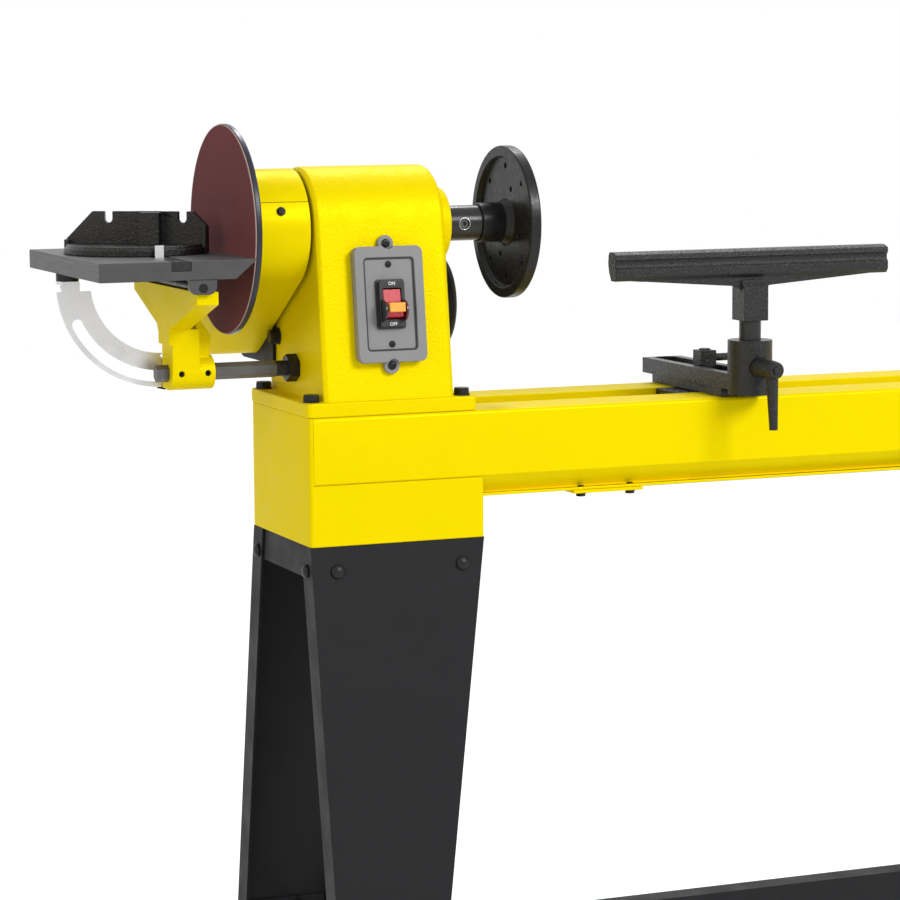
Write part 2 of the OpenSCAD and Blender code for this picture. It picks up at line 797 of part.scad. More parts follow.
// The belt: V-shaped section, wrapped round both pulleys with straight runs between them
module drive_belt() place() color(black) {
  big = spindle_large - step_growth * belt_step - groove_depth + 0.7;
  small = motor_step + step_growth * belt_step - groove_depth + 0.7;
  b = wrap(big, small);
  section = [[0, -belt_foot], [belt_height, -belt_top], [belt_height, belt_top], [0, belt_foot]];
  run = sqrt(pow(axis_distance, 2) - pow(big - small, 2));
  translate([pulley_start + step_width * (belt_step + 0.5), 0, centre_height]) across() union() {
    rotate([0, 0, axis_angle + b]) rotate_extrude(angle = 360 - 2 * b, $fn = 96) translate([big, 0])
    polygon(section);
    translate([motor_back, -motor_drop, 0]) rotate([0, 0, axis_angle - b])
    rotate_extrude(angle = 2 * b, $fn = 96) translate([small, 0]) polygon(section);
    for (side = [-1, 1]) {
      // Runs reach into the arcs, a hair smaller all round
      rotate([0, 0, axis_angle + side * b]) translate([big, side, 0]) rotate([side * 90, 0, 0])
      linear_extrude(run + 2) scale([1, side]) offset(delta = -0.05) polygon(section);
    }
  }
}

module guard_shell() {
  difference() {
    translate([guard_start, 0, centre_height]) across() linear_extrude(guard_end - guard_start)
    teardrop(guard_radius, guard_tail);
    translate([guard_start + guard_wall, 0, centre_height]) across() linear_extrude(guard_end - guard_start)
    teardrop(guard_radius - guard_wall, guard_tail - guard_wall);
    translate([guard_start - join, 0, centre_height]) right()
    cylinder(r = 24, h = guard_wall + 2 * join);
  }
}

guard_screw = [guard_start + (guard_end - guard_start) * 0.53, 18.8];
seam = centre_height + seam_height;

module belt_guard_body() place() color(yellow) {
  difference() {
    guard_shell();
    translate([0, -2 * guard_radius, seam]) cube([casting_start, 6 * guard_radius, 2 * guard_radius]);
    guard_screw_axis() cylinder(r = 2.3, h = 12, center = true);
  }
}

// Puts the guard's screw on the drum, a little below the seam, pointing outwards
module guard_screw_axis() {
  translate([guard_screw[0], 0, centre_height]) rotate([-guard_screw[1], 0, 0])
  translate([0, -guard_radius, 0]) rotate([90, 0, 0]) children();
}

module belt_guard_cover() place() color(yellow) {
  tab_outer = guard_radius - guard_wall - 0.2;
  difference() {
    union() {
      difference() {
        guard_shell();
        translate([0, -2 * guard_radius, seam - 4 * guard_radius + 0.4])
        cube([casting_start, 6 * guard_radius, 4 * guard_radius]);
      }
      // Tab that reaches down behind the lower shell and takes the screw
      translate([guard_screw[0] - 8, 0, centre_height]) across() linear_extrude(16)
      polygon(concat(
        arc([0, 0], tab_outer - 2, 165, 149, 3),
        [[-guard_radius * 0.786, seam_height + 4], [-guard_radius * 0.817, seam_height + 4]],
        arc([0, 0], tab_outer, 150, 165, 3)));
    }
    guard_screw_axis() cylinder(r = 2, h = 14, center = true);
  }
}

// A dome screw with a cross recess whose head stands on z = 0
module cross_screw(head, shank) {
  difference() {
    union() {
      rotate_extrude($fn = 32)
      polygon([[0, 0], [head, 0], [head, head * 0.25], [head * 0.75, head * 0.5], [0, head * 0.6]]);
      translate([0, 0, -shank]) cylinder(r = head * 0.42, h = shank + 0.5, $fn = 32);
    }
    for (turn = [0, 90]) {
      rotate([0, 0, turn]) translate([-head * 0.55, -head * 0.12, head * 0.3])
      cube([head * 1.1, head * 0.24, head]);
    }
  }
}

module panel_screws() place() color(black) {
  guard_screw_axis() translate([0, 0, 0.1]) cross_screw(4.4, 4.9);
  on_front_face() {
    for (side = [-1, 1]) {
      translate([0, side * ear_screw, switch_ear + 0.05]) cross_screw(4.2, switch_ear + 6);
      translate([0, side * inner_screw, switch_depth - recess + 0.05]) cross_screw(3.2, 5);
    }
  }
}

module faceplate() place() color(black) {
  web = 6.5;
  rim_inner = faceplate / 2 - 10;
  face = hub_end + faceplate_rim;
  translate([0, 0, centre_height]) difference() {
    turned([
      [nose / 2 - 4.95, nose_end], [faceplate_hub / 2 - 1, nose_end], [faceplate_hub / 2, nose_end + 1],
      [faceplate_hub / 2, hub_end - 2], [faceplate_hub / 2 + 4, face - web],
      [rim_inner - 2, face - web], [rim_inner, hub_end], [faceplate / 2 - 1, hub_end],
      [faceplate / 2, hub_end + 1], [faceplate / 2, face - 1], [faceplate / 2 - 1, face],
      [nose / 2 - 4.95, face]
    ]);
    for (i = [0:screw_count - 1]) {
      rotate([i * 360 / screw_count, 0, 0]) translate([hub_end - join, 0, screw_circle / 2])
      right() cylinder(d = screw_hole, h = faceplate_rim + 2 * join, $fn = 32);
    }
    for (i = [0:3]) {
      rotate([i * 90 + 22.5, 0, 0]) translate([hub_end - join, 0, faceplate_hub * 0.9])
      right() cylinder(d = screw_hole, h = faceplate_rim + 2 * join, $fn = 32);
    }
  }
}

module sanding_disc() place() color(steel) {
  r = disc / 2;
  translate([0, 0, centre_height]) turned([
    [shaft_seat - 2.95, abrasive + 3], [0, abrasive + 3], [0, abrasive], [r - 0.5, abrasive],
    [r, abrasive + 0.5], [r, disc_back - 1.5], [r - 1.5, disc_back], [20, disc_back],
    [20, disc_back + 6.5], [shaft_seat - 2.95, disc_back + 6.5]
  ]);
}

module abrasive_disc() place() color([0.42, 0.2, 0.22]) {
  translate([0, 0, centre_height]) right() cylinder(d = disc - 1.5, h = abrasive, $fn = 96);
}

// Motor

motor_level = centre_height - motor_drop;
motor_start = casting_start + 0.1;

module at_motor() translate([0, motor_back, motor_level]) children();

plate_bolts = [[52, 68], [52, 126]];

module motor_mount_plate() place() color(black) {
  lower = motor_level - motor_radius + 2;
  upper = motor_level + motor_radius - 3;
  back = motor_back + motor_radius - 4;
  difference() {
    union() {
      translate([casting_start - mount_plate, 0, 0]) across() linear_extrude(mount_plate - 0.1)
      polygon(concat(
        [[plate_front, lower]], arc([back - 20, lower + 20], 20, 270, 360, 6),
        arc([back - 20, upper - 20], 20, 0, 90, 6), [[plate_front, upper]]));
      // Lugs for the bolts to the headstock
      for (point = plate_bolts) {
        translate([casting_start - mount_plate, point[0], point[1]]) right()
        cylinder(r = 8.5, h = mount_plate - 0.1);
      }
    }
    at_motor() translate([casting_start - mount_plate - join, 0, 0]) right()
    cylinder(r = 20, h = mount_plate + 2 * join);
    for (point = plate_bolts) {
      translate([casting_start - mount_plate - join, point[0], point[1]]) right()
      cylinder(r = bolt_hole, h = mount_plate + 2 * join);
    }
  }
}
plate_front = 59.5;

module motor_body() place() color(charcoal) {
  core = motor_radius - 5;
  at_motor() difference() {
    union() {
      translate([motor_start, 0, 0]) turned([
        [0, 0], [motor_radius - 4, 0], [motor_radius - 1, 3], [motor_radius - 1, 12],
        [core, 18], [core, motor_length - 14], [motor_radius - 1, motor_length - 8],
        [motor_radius - 1, motor_length], [0, motor_length]
      ]);
      translate([motor_start + 12, 0, 0]) across() linear_extrude(motor_length - 20)
      for (i = [0:rib_count - 1]) {
        rotate(i * 360 / rib_count) translate([core - join, -0.9]) square([6 - join, 1.8]);
      }
    }
    translate([motor_start - join, 0, 0]) right()
    cylinder(r = motor_shaft_radius + running_gap, h = motor_length * 0.6);
  }
}

module motor_end_cover() place() color(charcoal) {
  r = motor_radius;
  start = motor_start + motor_length + 0.1;
  at_motor() translate([start, 0, 0]) difference() {
    turned(concat(
      [[0, 0], [r - 1, 0], [r - 1, 2]],
      arc([r - 1 - 12, cowl_length - 12], 12, 0, 90, 6),
      [[0, cowl_length]]));
    // Ring of air slots
    for (i = [0:23]) {
      rotate([i * 15, 0, 0]) translate([cowl_length - 6, -1.5, 18]) cube([10, 3, 24]);
    }
  }
}

module motor_terminal_box() place() color(charcoal) {
  at_motor() translate([motor_start + 38, -24, motor_radius - 0.8]) difference() {
    cube([72, 48, 32]);
    translate([-join, -join, 26]) cube([2.5, 50, 1.2]);
    translate([60, 24, 13]) right() cylinder(r = 6.1, h = 20);
  }
}

module cable_gland() place() color(black) {
  at_motor() translate([motor_start + 38 + 72, 0, motor_radius + 12.2]) right() difference() {
    union() {
      translate([0, 0, 0.1]) hexagon(18, 6);
      translate([0, 0, 6]) cylinder(r1 = 8, r2 = 6.5, h = 10);
      translate([0, 0, -8]) cylinder(r = 6, h = 9);
    }
    translate([0, 0, 2]) cylinder(r = 4.2, h = 20);
  }
}

module motor_shaft() place() color(steel) {
  at_motor() translate([pulley_start - 1, 0, 0]) right()
  cylinder(r = motor_shaft_radius, h = motor_start + motor_length * 0.6 - pulley_start - 2);
}

// Switch on the leaning front face

// Middle of the switch: local x along the bed, y up the face, z outwards
module on_front_face() {
  switch_x = casting_start + casting_width / 2 + 2;
  face_y = casting_foot / 2 - (switch_level - foot_plate + join) * tan(lean);
  translate([switch_x, -face_y, switch_level]) rotate([90 - lean, 0, 0]) children();
}

ear_screw = switch_height / 2 + 3;
ear_radius = 8;
switch_ear = 5;
recess = 2.5;
inner_screw = 38.5;
inner_width = 52;
inner_height = 90;

module switch_plate() place() color([0.55, 0.56, 0.58]) {
  on_front_face() difference() {
    union() {
      translate([0, 0, 0.1]) linear_extrude(switch_depth - 0.1)
      polygon(rounded(switch_width, switch_height, 7));
      for (side = [-1, 1]) {
        translate([0, side * ear_screw, 0.1]) cylinder(r = ear_radius, h = switch_ear - 0.1);
      }
    }
    translate([0, 0, switch_depth - recess]) linear_extrude(recess + join)
    polygon(rounded(inner_width, inner_height, 4));
    translate([0, 0, -join]) linear_extrude(switch_depth + 2 * join)
    polygon(rounded(rocker_body_width + 0.4, rocker_body_height + 0.4, 2));
    for (side = [-1, 1]) {
      translate([0, side * ear_screw, -join]) cylinder(r = 2.1, h = switch_ear + 2 * join);
      translate([0, side * ear_screw, switch_ear]) cylinder(r = 6, h = switch_depth);
      translate([0, side * inner_screw, switch_depth - 9]) cylinder(r = 1.5, h = 12);
    }
  }
}

body_front = switch_depth + 4.5;
rocker_width = rocker_body_width - 8;
rocker_half = rocker_body_height / 2 - 8;
rocker_axis = body_front - 4;

module switch_body() place() color(black) {
  on_front_face() difference() {
    union() {
      translate([0, 0, 0.5]) linear_extrude(body_front - 0.5)
      polygon(rounded(rocker_body_width, rocker_body_height, 2));
      translate([0, 0, switch_depth - recess + 0.1]) linear_extrude(1.4)
      polygon(rounded(rocker_body_width + 4, rocker_body_height + 4, 3));
    }
    translate([0, 0, 3]) linear_extrude(body_front)
    polygon(rounded(rocker_width + 0.8, 2 * rocker_half + 2, 0.8));
  }
}

module switch_rocker() place() color([0.8, 0.1, 0.1]) {
  on_front_face() translate([0, 0, rocker_axis]) difference() {
    rotate([0, -90, 0]) translate([0, 0, -rocker_width / 2]) linear_extrude(rocker_width) rotate(0)
    polygon([
      [-5, -rocker_half * 0.6], [2, -rocker_half], [9, -rocker_half * 0.9], [11.5, -rocker_half * 0.5],
      [9.5, -1], [3.5, 2], [2.5, rocker_half], [0.5, rocker_half], [-5, rocker_half * 0.7]
    ]);
    translate([-key_width / 2 - 0.15, key_place - 1.65, -3.5]) cube([key_width + 0.3, 3.3, 20]);
  }
}
key_width = 8;
key_place = -4;

module safety_key() place() color([1, 0.72, 0.1]) {
  on_front_face() translate([0, 0, rocker_axis]) {
    union() {
      translate([-key_width / 2, key_place - 1.5, -3]) cube([key_width, 3, 16]);
      translate([-8, key_place - 4.5, 11.8]) cube([16, 9, 6]);
    }
  }
}

// Disc sander's bar, bracket and table

hub_left = -57.5;
hub_right = -14;
bar_start = hub_left - 12;

module on_bar() translate([0, 0, bar_level]) children();

module hex_bar() place() color(charcoal) {
  neck = bar_start + hex_bar_length;
  on_bar() right() union() {
    translate([0, 0, bar_start]) hexagon(hex_bar_flats, hex_bar_length);
    translate([0, 0, neck - join]) cylinder(r = bar_thread, h = casting_start + end_wall - 1 - neck + join);
  }
}

module bar_lock_nut() place() color(black) {
  nut = 11;
  on_bar() translate([casting_start - 0.1, 0, 0]) rotate([0, -90, 0]) difference() {
    union() {
      hexagon(24, nut - 2);
      translate([0, 0, nut - 3]) hex_head(24, 3);
    }
    translate([0, 0, -join]) cylinder(r = bar_thread + 0.05, h = nut + 2 * join);
  }
}

pivot_z = table_top - table_depth - 8;
beam_x = -50;
beam_half = 10.5;
beam_front = table_shift - table_width / 2 + 7;
beam_back = 97;
arm_left = -57;
arm_right = -30;
arm_front = -hub / 2;
arm_back = hub / 2 + 1.5;
pivot_boss = 7.5;
quadrant_y = 20;
lock_radius = quadrant_outer - 10.5;
lock_angle = 272.5;
lock_x = pivot_x + lock_radius * cos(lock_angle);
lock_z = pivot_z + lock_radius * sin(lock_angle);
lock_stud = 3.5;
set_screw_x = [hub_left + 9.5, hub_right - 7.5];

module table_bracket() place() color(yellow) {
  beam_top = pivot_z - 4;
  beam_low = beam_top - 12;
  neck_z = bar_level + 43;
  difference() {
    union() {
      on_bar() translate([hub_left, 0, 0]) right() cylinder(d = hub, h = hub_right - hub_left);
      // Arm that rises from the hub
      translate([arm_left, arm_front, bar_level])
      cube([arm_right - arm_left, arm_back - arm_front, neck_z - bar_level]);
      translate([arm_left, 0, bar_level - hub / 2 + 1]) cube([arm_right - arm_left, arm_back, hub / 2]);
      // Web and beam in one outline
      translate([beam_x - beam_half, 0, 0]) across() linear_extrude(2 * beam_half) polygon([
        [arm_front, neck_z - 15], [arm_front, neck_z], [beam_front, beam_low],
        [beam_front, beam_top], [beam_back, beam_top], [beam_back, beam_low + 2],
        [arm_back + 5, neck_z + 4], [arm_back, neck_z - 4], [arm_back, neck_z - 15]
      ]);
      // Bosses that hold the pivot pin
      for (y = [beam_front, beam_back - 18]) {
        translate([pivot_x, y, pivot_z]) back() cylinder(r = pivot_boss, h = 18);
      }
      // Gusset on the disc side of the arm
      translate([arm_right - join, 2, bar_level]) along() linear_extrude(10)
      polygon([[0, 8], [13, 14], [15, 36], [4, 52], [0, 52]]);
    }
    // Hexagon bore for the bar
    on_bar() translate([hub_left - join, 0, 0]) right()
    hexagon(hex_bar_flats + 0.4, hub_right - hub_left + 2 * join);
    // Holes of the set screws
    for (x = set_screw_x) {
      translate([x, 0, bar_level]) rotate([90, 0, 0]) cylinder(r = 3.05, h = hub);
    }
    // Bore of the pivot pin
    translate([pivot_x, beam_front - join, pivot_z]) back()
    cylinder(r = pivot_pin, h = beam_back - beam_front + 2 * join);
    // Threaded hole of the tilt lock, under the bar
    translate([lock_x, 0, lock_z]) back() cylinder(r = lock_stud + 0.05, h = arm_back + 5);
  }
}

module bracket_set_screws() place() color(black) {
  for (x = set_screw_x) {
    translate([x, -hex_bar_flats / 2 - 0.25, bar_level]) rotate([90, 0, 0]) difference() {
      cylinder(r = 3, h = 6);
      translate([0, 0, 3]) hexagon(3, 4);
    }
  }
}

ear_depth = 6;
ear_front = beam_front - 0.5 - ear_depth;
ear_back = beam_back + 0.5;

module table_pivot_pin() place() color(steel) {
  translate([pivot_x, ear_front - 0.5, pivot_z]) back()
  cylinder(r = pivot_pin, h = ear_back - ear_front + ear_depth + 1);
}

// Stud with the wing nut that clamps the quadrant
module tilt_lock_nut() place() color(black) {
  collar = quadrant_y + quadrant_sheet + 0.3;
  translate([lock_x, 0, lock_z]) rotate([0, 12, 0]) union() {
    translate([0, arm_back - 6, 0]) back() cylinder(r = lock_stud, h = collar - arm_back + 18);
    translate([0, collar, 0]) back() cylinder(r1 = 8, r2 = 6.5, h = 9);
    // Wings
    translate([0, collar + 9, 0]) along() linear_extrude(5)
    polygon([[-3, -5], [-4, -14], [4, -14], [3, -5], [3, 5], [4, 14], [-4, 14], [-3, 5]]);
  }
}

ear_half = 13.5;

// Outline in X and Z of the ears that hang from the table about the pivot
module ear_outline() {
  low = pivot_z - 6;
  polygon(concat(
    [[pivot_x + ear_half, table_top - table_depth + join]],
    arc([pivot_x + ear_half - 8, low + 8], 8, 0, -90, 6),
    arc([pivot_x - ear_half + 8, low + 8], 8, 270, 180, 6),
    [[pivot_x - ear_half, table_top - table_depth + join]]));
}

// Table with bevelled edge, slot and two pivot ears
module sander_table() place() color(iron) {
  front = table_shift - table_width / 2;
  right = -table_gap;
  low = table_top - table_depth;
  bevel = table_depth + 2;
  difference() {
    union() {
      translate([0, front + table_width, 0]) along() linear_extrude(table_width) polygon([
        [table_left, low], [right - bevel, low], [right, low + bevel - 3],
        [right, table_top], [table_left, table_top]
      ]);
      for (y = [ear_front, ear_back]) {
        translate([0, y + ear_depth, 0]) along() linear_extrude(ear_depth) ear_outline();
      }
    }
    translate([-mitre_slot_x - mitre_slot / 2, front - join, table_top - mitre_slot_depth])
    cube([mitre_slot, table_width + 2 * join, mitre_slot_depth + join]);
    translate([pivot_x, ear_front - join, pivot_z]) back()
    cylinder(r = pivot_pin + 0.05, h = ear_back - ear_front + ear_depth + 2 * join);
    // Screw hole for the quadrant
    translate([tab_x, quadrant_y + 12, low - join]) cylinder(r = 3.3, h = 10);
  }
}

quadrant_end = 281;
slot_start = 206;
slot_half = 5.6;
tab_x = table_left + 10;
tab_half = 8.7;
spacer = 7;

// Sheet quadrant about the pivot, with its curved slot and its tab under the table
module tilt_quadrant() place() color(steel) {
  low = table_top - table_depth;
  tab_top = low - spacer - 0.1;
  translate([0, quadrant_y + quadrant_sheet, 0]) along() linear_extrude(quadrant_sheet) difference() {
    union() {
      translate([pivot_x, pivot_z]) difference() {
        circle(r = quadrant_outer, $fn = 96);
        circle(r = quadrant_inner, $fn = 96);
        polygon([
          [-200, -9], [0, -9], [0, 0], 300 * [cos(quadrant_end), sin(quadrant_end)],
          [300, -300], [300, 300], [-200, 300]
        ]);
        // Corner cut off to clear the disc when tilted
        rotate(-table_tilt) translate([50, -54]) square(200);
      }
      translate([tab_x - tab_half, pivot_z - 20]) square([2 * tab_half, tab_top - pivot_z + 20]);
    }
    translate([pivot_x, pivot_z]) {
      polygon(concat(
        arc([0, 0], lock_radius + slot_half, slot_start, lock_angle, 24),
        arc(lock_radius * [cos(lock_angle), sin(lock_angle)], slot_half, lock_angle + 15, lock_angle + 165, 10),
        arc([0, 0], lock_radius - slot_half, lock_angle, slot_start, 24),
        arc(lock_radius * [cos(slot_start), sin(slot_start)], slot_half, slot_start + 195, slot_start + 345, 10)
      ));
    }
  }
  translate([tab_x - tab_half, quadrant_y, tab_top - quadrant_sheet]) difference() {
    cube([2 * tab_half, 22, quadrant_sheet]);
    translate([tab_half, 12, -join]) cylinder(r = 3.3, h = quadrant_sheet + 2 * join);
  }
}

module quadrant_bolt() place() color(black) {
  low = table_top - table_depth;
  translate([tab_x, quadrant_y + 12, low]) rotate([180, 0, 0]) union() {
    cylinder(r = 11, h = spacer);
    translate([0, 0, -6]) cylinder(r = 3.2, h = spacer + 6 + quadrant_sheet + 2);
    translate([0, 0, spacer + quadrant_sheet + 0.3]) hex_head(12, 5);
  }
}

mitre_pivot_y = 30;
bar_front_end = table_shift - table_width / 2 + 1;

module mitre_bar() place() color(black) {
  width = mitre_slot - 0.4;
  tab = 8.5;
  top = table_top - 0.2;
  bottom = table_top - mitre_slot_depth + 0.2;
  union() {
    translate([-mitre_slot_x - width / 2, bar_front_end, bottom])
    cube([width, table_width - 12, top - bottom]);
    // Upright pointer at the rim of the gauge
    translate([-mitre_slot_x - tab / 2, mitre_pivot_y - mitre_radius - 4, top - join]) cube([tab, 2.5, 12]);
    // Pivot pin of the gauge
    translate([-mitre_slot_x, mitre_pivot_y, top - join]) cylinder(r = 5, h = 7);
  }
}

mitre_base = 9;
fence_depth = 6;
notch_spread = 74;
notch_width = 8;
notch_depth = 11;

// Gauge head about its pivot, local x along the fence, -y to its base
module mitre_head() place() color(black) {
  half = mitre_radius + 1;
  translate([-mitre_slot_x, mitre_pivot_y, table_top + 0.1]) rotate([0, 0, -mitre_angle]) difference() {
    union() {
      intersection() {
        union() {
          cylinder(r = mitre_radius, h = mitre_base * 0.7);
          cylinder(r1 = mitre_radius, r2 = mitre_radius - 3, h = mitre_base);
        }
        translate([-half, -mitre_radius - join, 0]) cube([2 * half, mitre_radius + join, mitre_base]);
      }
      // Fence with its cut corners
      translate([0, fence_depth - 0.5, 0]) along() linear_extrude(fence_depth) polygon([
        [-half, 0], [half, 0], [half, fence_height - 14], [half - 14, fence_height],
        [fence_cut - half, fence_height], [-half, fence_height - fence_cut]
      ]);
      // Ribs behind the fence, the middle one over the pivot
      for (x = [-half, half - 5]) {
        translate([x, -7, 0]) cube([5, 8, x < 0 ? fence_height - fence_cut : fence_height - 14]);
      }
      translate([6, -13, 0]) cube([20, 14, fence_height - 0.5]);
    }
    for (x = [-notch_spread / 2, notch_spread / 2]) {
      translate([x + notch_shift, 10, fence_height]) along() linear_extrude(24) union() {
        translate([-notch_width / 2, notch_width / 2 - notch_depth]) square([notch_width, notch_depth]);
        translate([0, notch_width / 2 - notch_depth]) circle(d = notch_width, $fn = 32);
      }
    }
    translate([0, 0, -join]) cylinder(r = 5.05, h = 7.5 + join);
  }
}

// Tool rest

module at_rest() translate([rest_x, -rest_front, 0]) children();

clamp_x = rest_x;
clamp_stud = 6;
slot_wide = 24;
slot_narrow = 14;
slot_back = banjo_back - 12;
slot_front = 12 - rest_front + boss / 2;

// Guide block in the bed slot, with its clamp plate and stud
module rest_clamp_block() place() color(black) {
  width = bed_slot - 1;
  translate([clamp_x, 0, 0]) union() {
    translate([-42, -width / 2, -rail_lip]) cube([84, width, rail_lip - 0.2]);
    translate([-42, -width / 2 - 11, -rail_lip - 8.3]) cube([84, width + 22, 8]);
    translate([-20, -12, -rail_lip - 1]) cube([40, 24, 2]);
    translate([0, 0, -5]) cylinder(r = clamp_stud, h = banjo_level + 22);
  }
}

// Clamping nut with its bar handle
module rest_clamp_lever() place() color(black) {
  seat = banjo_level - 5 + 0.3;
  translate([clamp_x, 0, seat]) difference() {
    union() {
      translate([-9, -9, 5.2]) cube([18, 18, 14.8]);
      cylinder(r = 11.5, h = 5.5);
      translate([0, 0, 12]) right() cylinder(r = 4, h = clamp_lever);
    }
    translate([0, 0, -join]) cylinder(r = clamp_stud + 0.05, h = 30);
  }
}

// Slotted plate with the post's boss at its front end
module banjo() place() color(black) {
  half = boss / 2;
  length = banjo_back + rest_front;
  underside = 0.3;
  difference() {
    union() {
      at_rest() {
        translate([0, 0, 4]) cylinder(d = boss, h = boss_level - 4);
        translate([-half, 0, banjo_level - banjo_plate]) cube([boss, length, banjo_plate]);
      }
      // Narrower foot that lies on the rails
      translate([rest_x - half + 2, 12 - half_bed, underside])
      cube([boss - 4, half_bed - 12 + half_bed - 4, banjo_level - banjo_plate]);
      translate([rest_x - half, 4 - half_bed, underside]) cube([boss, 34, banjo_level - banjo_plate]);
      // Boss of the lock lever
      at_rest() translate([0, 0, lever_level]) rotate([90, 0, 0]) cylinder(r = 11, h = half + 5);
    }
    at_rest() translate([0, 0, -join]) cylinder(r = post / 2 + 0.08, h = boss_level + 2 * join);
    // Slot for the clamping stud, with its sunk seat
    translate([rest_x, 0, 0]) {
      for (part = [[slot_narrow, -join, 60], [slot_wide, banjo_level - 5, 60]]) {
        translate([-part[0] / 2, slot_front, part[1]]) cube([part[0], slot_back - slot_front, part[2]]);
        for (y = [slot_front, slot_back]) {
          translate([0, y, part[1]]) cylinder(d = part[0], h = part[2]);
        }
      }
    }
    // Threaded hole of the lock lever
    at_rest() translate([0, 0, lever_level]) rotate([90, 0, 0]) cylinder(r = 5.05, h = half + 10);
  }
}
lever_level = 32.5;

module tool_rest_post() place() color(steel) {
  top = blade_level - blade_middle - stem_height;
  low = 6;
  at_rest() translate([0, 0, low]) cylinder(d = post, h = top + 20 - low);
}

// Section of the blade: flat top edge, hollow front and curled foot
function blade_section(depth) = concat(
  [[9, -3], [7, 0], [-2, 0], [-9, -2.5], [-9.5, -7]],
  arc([-13, -depth * 0.42], 6, 55, -55, 6),
  [[-9.5, -depth + 4], [-6, -depth], [3, -depth], [8, -depth * 0.7], [10, -depth * 0.4]]);

module tool_rest() place() color(black) {
  half = blade / 2;
  stem_top = blade_level - blade_middle;
  stem_low = stem_top - stem_height;
  at_rest() difference() {
    union() {
      translate([-half, 0, blade_level]) across() linear_extrude(blade) polygon(blade_section(blade_end));
      // Deeper middle over the stem
      translate([0, 3.5, blade_level]) along() linear_extrude(9.5) polygon(concat(
        [[6 - half, -8], [6 - half, 1 - blade_end]],
        arc([-stem / 2 - 7, -blade_middle - 7], 7, 90, 0, 5),
        arc([stem / 2 + 7, -blade_middle - 7], 7, 180, 90, 5),
        [[half - 6, 1 - blade_end], [half - 6, -8]]));
      translate([-stem / 2, -stem / 2, stem_low]) cube([stem, stem, stem_height]);
      translate([-stem / 2, -9, stem_top - 4]) cube([stem, 18, 10]);
    }
    translate([0, 0, stem_low - join]) cylinder(r = post / 2 + 0.06, h = 21.5 + join);
  }
}

// Lever with its turned hub and tapered handle
module rest_lock_lever() place() color(black) {
  face = rest_front + boss / 2 + 5.3;
  cap = face + 32;
  translate([rest_x, 0, lever_level]) {
    union() {
      translate([0, -cap, 0]) turned_back([
        [0, 0], [4, 0], [4, 2], [7.5, 2], [8.5, 4], [9.5, 12], [9.5, 26], [11, 32], [5, 32],
        [5, 32 + 16.3], [0, 32 + 16.3]
      ]);
      translate([0, -cap + 13, 0]) rotate([176, 0, 0])
      cylinder(r1 = 6.5, r2 = 4.2, h = rest_lever, $fn = 32);
    }
  }
}

// Tailstock

module at_tailstock() translate([tailstock_x, 0, 0]) children();

tail_width = 86;
tail_half = barrel / 2 + 14;
barrel_start = -barrel_length / 2;

module tailstock_casting() place() color(yellow) {
  quill_bore = quill_size / 2 + running_gap + 0.02;
  at_tailstock() difference() {
    union() {
      translate([0, 0, slide_gap]) linear_extrude(16) polygon(rounded(tailstock_foot, bed_width - 6, 8));
      // Guide tongue in the bed slot
      translate([-tailstock_foot / 2 + 8, 0.5 - half_slot, -rail_lip + 4])
      cube([tailstock_foot - 16, bed_slot - 1, rail_lip - 3]);
      // Column that narrows to the barrel
      translate([-tail_width / 2, 0, 0]) across() linear_extrude(tail_width) polygon([
        [-62, 15], [62, 15], [barrel / 2 - 1, centre_height - 12], [barrel / 2 - 2, centre_height + 4],
        [2 - barrel / 2, centre_height + 4], [1 - barrel / 2, centre_height - 12]
      ]);
      translate([barrel_start, 0, centre_height]) right()
      cylinder(d = barrel, h = barrel_length);
      translate([-30, 0, centre_height + barrel / 2 - 6]) cylinder(r = 12, h = 12);
    }
    translate([barrel_start - join, 0, centre_height]) right()
    cylinder(r = quill_bore, h = barrel_length - 12 + join);
    translate([barrel_start, 0, centre_height]) right()
    cylinder(r = 10.1, h = barrel_length + join);
    // Hollow of the column, open at the bottom
    translate([-tail_width / 2 + 10, 0, 0]) across() linear_extrude(tail_width - 20)
    polygon([[-50, -join], [50, -join], [26, 120], [-26, 120]]);
    translate([-tail_width / 2 + 10, 1 - half_slot, -rail_lip]) cube([tail_width - 20, bed_slot - 2, 30]);
    // Hole of the quill lock and bore of the clamp shaft
    translate([-30, 0, centre_height]) cylinder(r = 5.05, h = barrel);
    translate([0, 0, shaft_level]) rotate([90, 0, 0]) cylinder(r = 8.1, h = 200, center = true);
  }
}
shaft_level = 42;

// Clamp plate under the lips, and the bolt that the cam shaft lifts
module tailstock_clamp() place() color(black) {
  at_tailstock() difference() {
    union() {
      translate([-30, -half_slot - 11, -rail_lip - 8.3]) cube([60, bed_slot + 22, 8]);
      translate([0, 0, -rail_lip - 12]) cylinder(r = 6, h = shaft_level + rail_lip - 2);
      translate([-13, -11, shaft_level - 15]) cube([26, 22, 30]);
      translate([0, 0, -rail_lip - 15]) hexagon(18, 7);
    }
    translate([0, 0, shaft_level]) rotate([90, 0, 0]) cylinder(r = 8.3, h = 60, center = true);
  }
}

module tailstock_lock_lever() place() color(black) {
  at_tailstock() translate([0, 0, shaft_level]) union() {
    translate([0, 60, 0]) rotate([90, 0, 0]) cylinder(r = 8, h = 134);
    translate([0, -62, 0]) rotate([90, 0, 0]) cylinder(r = 12, h = 14);
    translate([0, -69, 0]) rotate([0, 45, 0]) cylinder(r = 5.5, h = 92);
    translate([0, -69, 0]) rotate([0, 45, 0]) translate([0, 0, 96]) sphere(r = 12, $fn = 32);
  }
}

quill_out = 6;
quill_long = 120;
screw = 8;

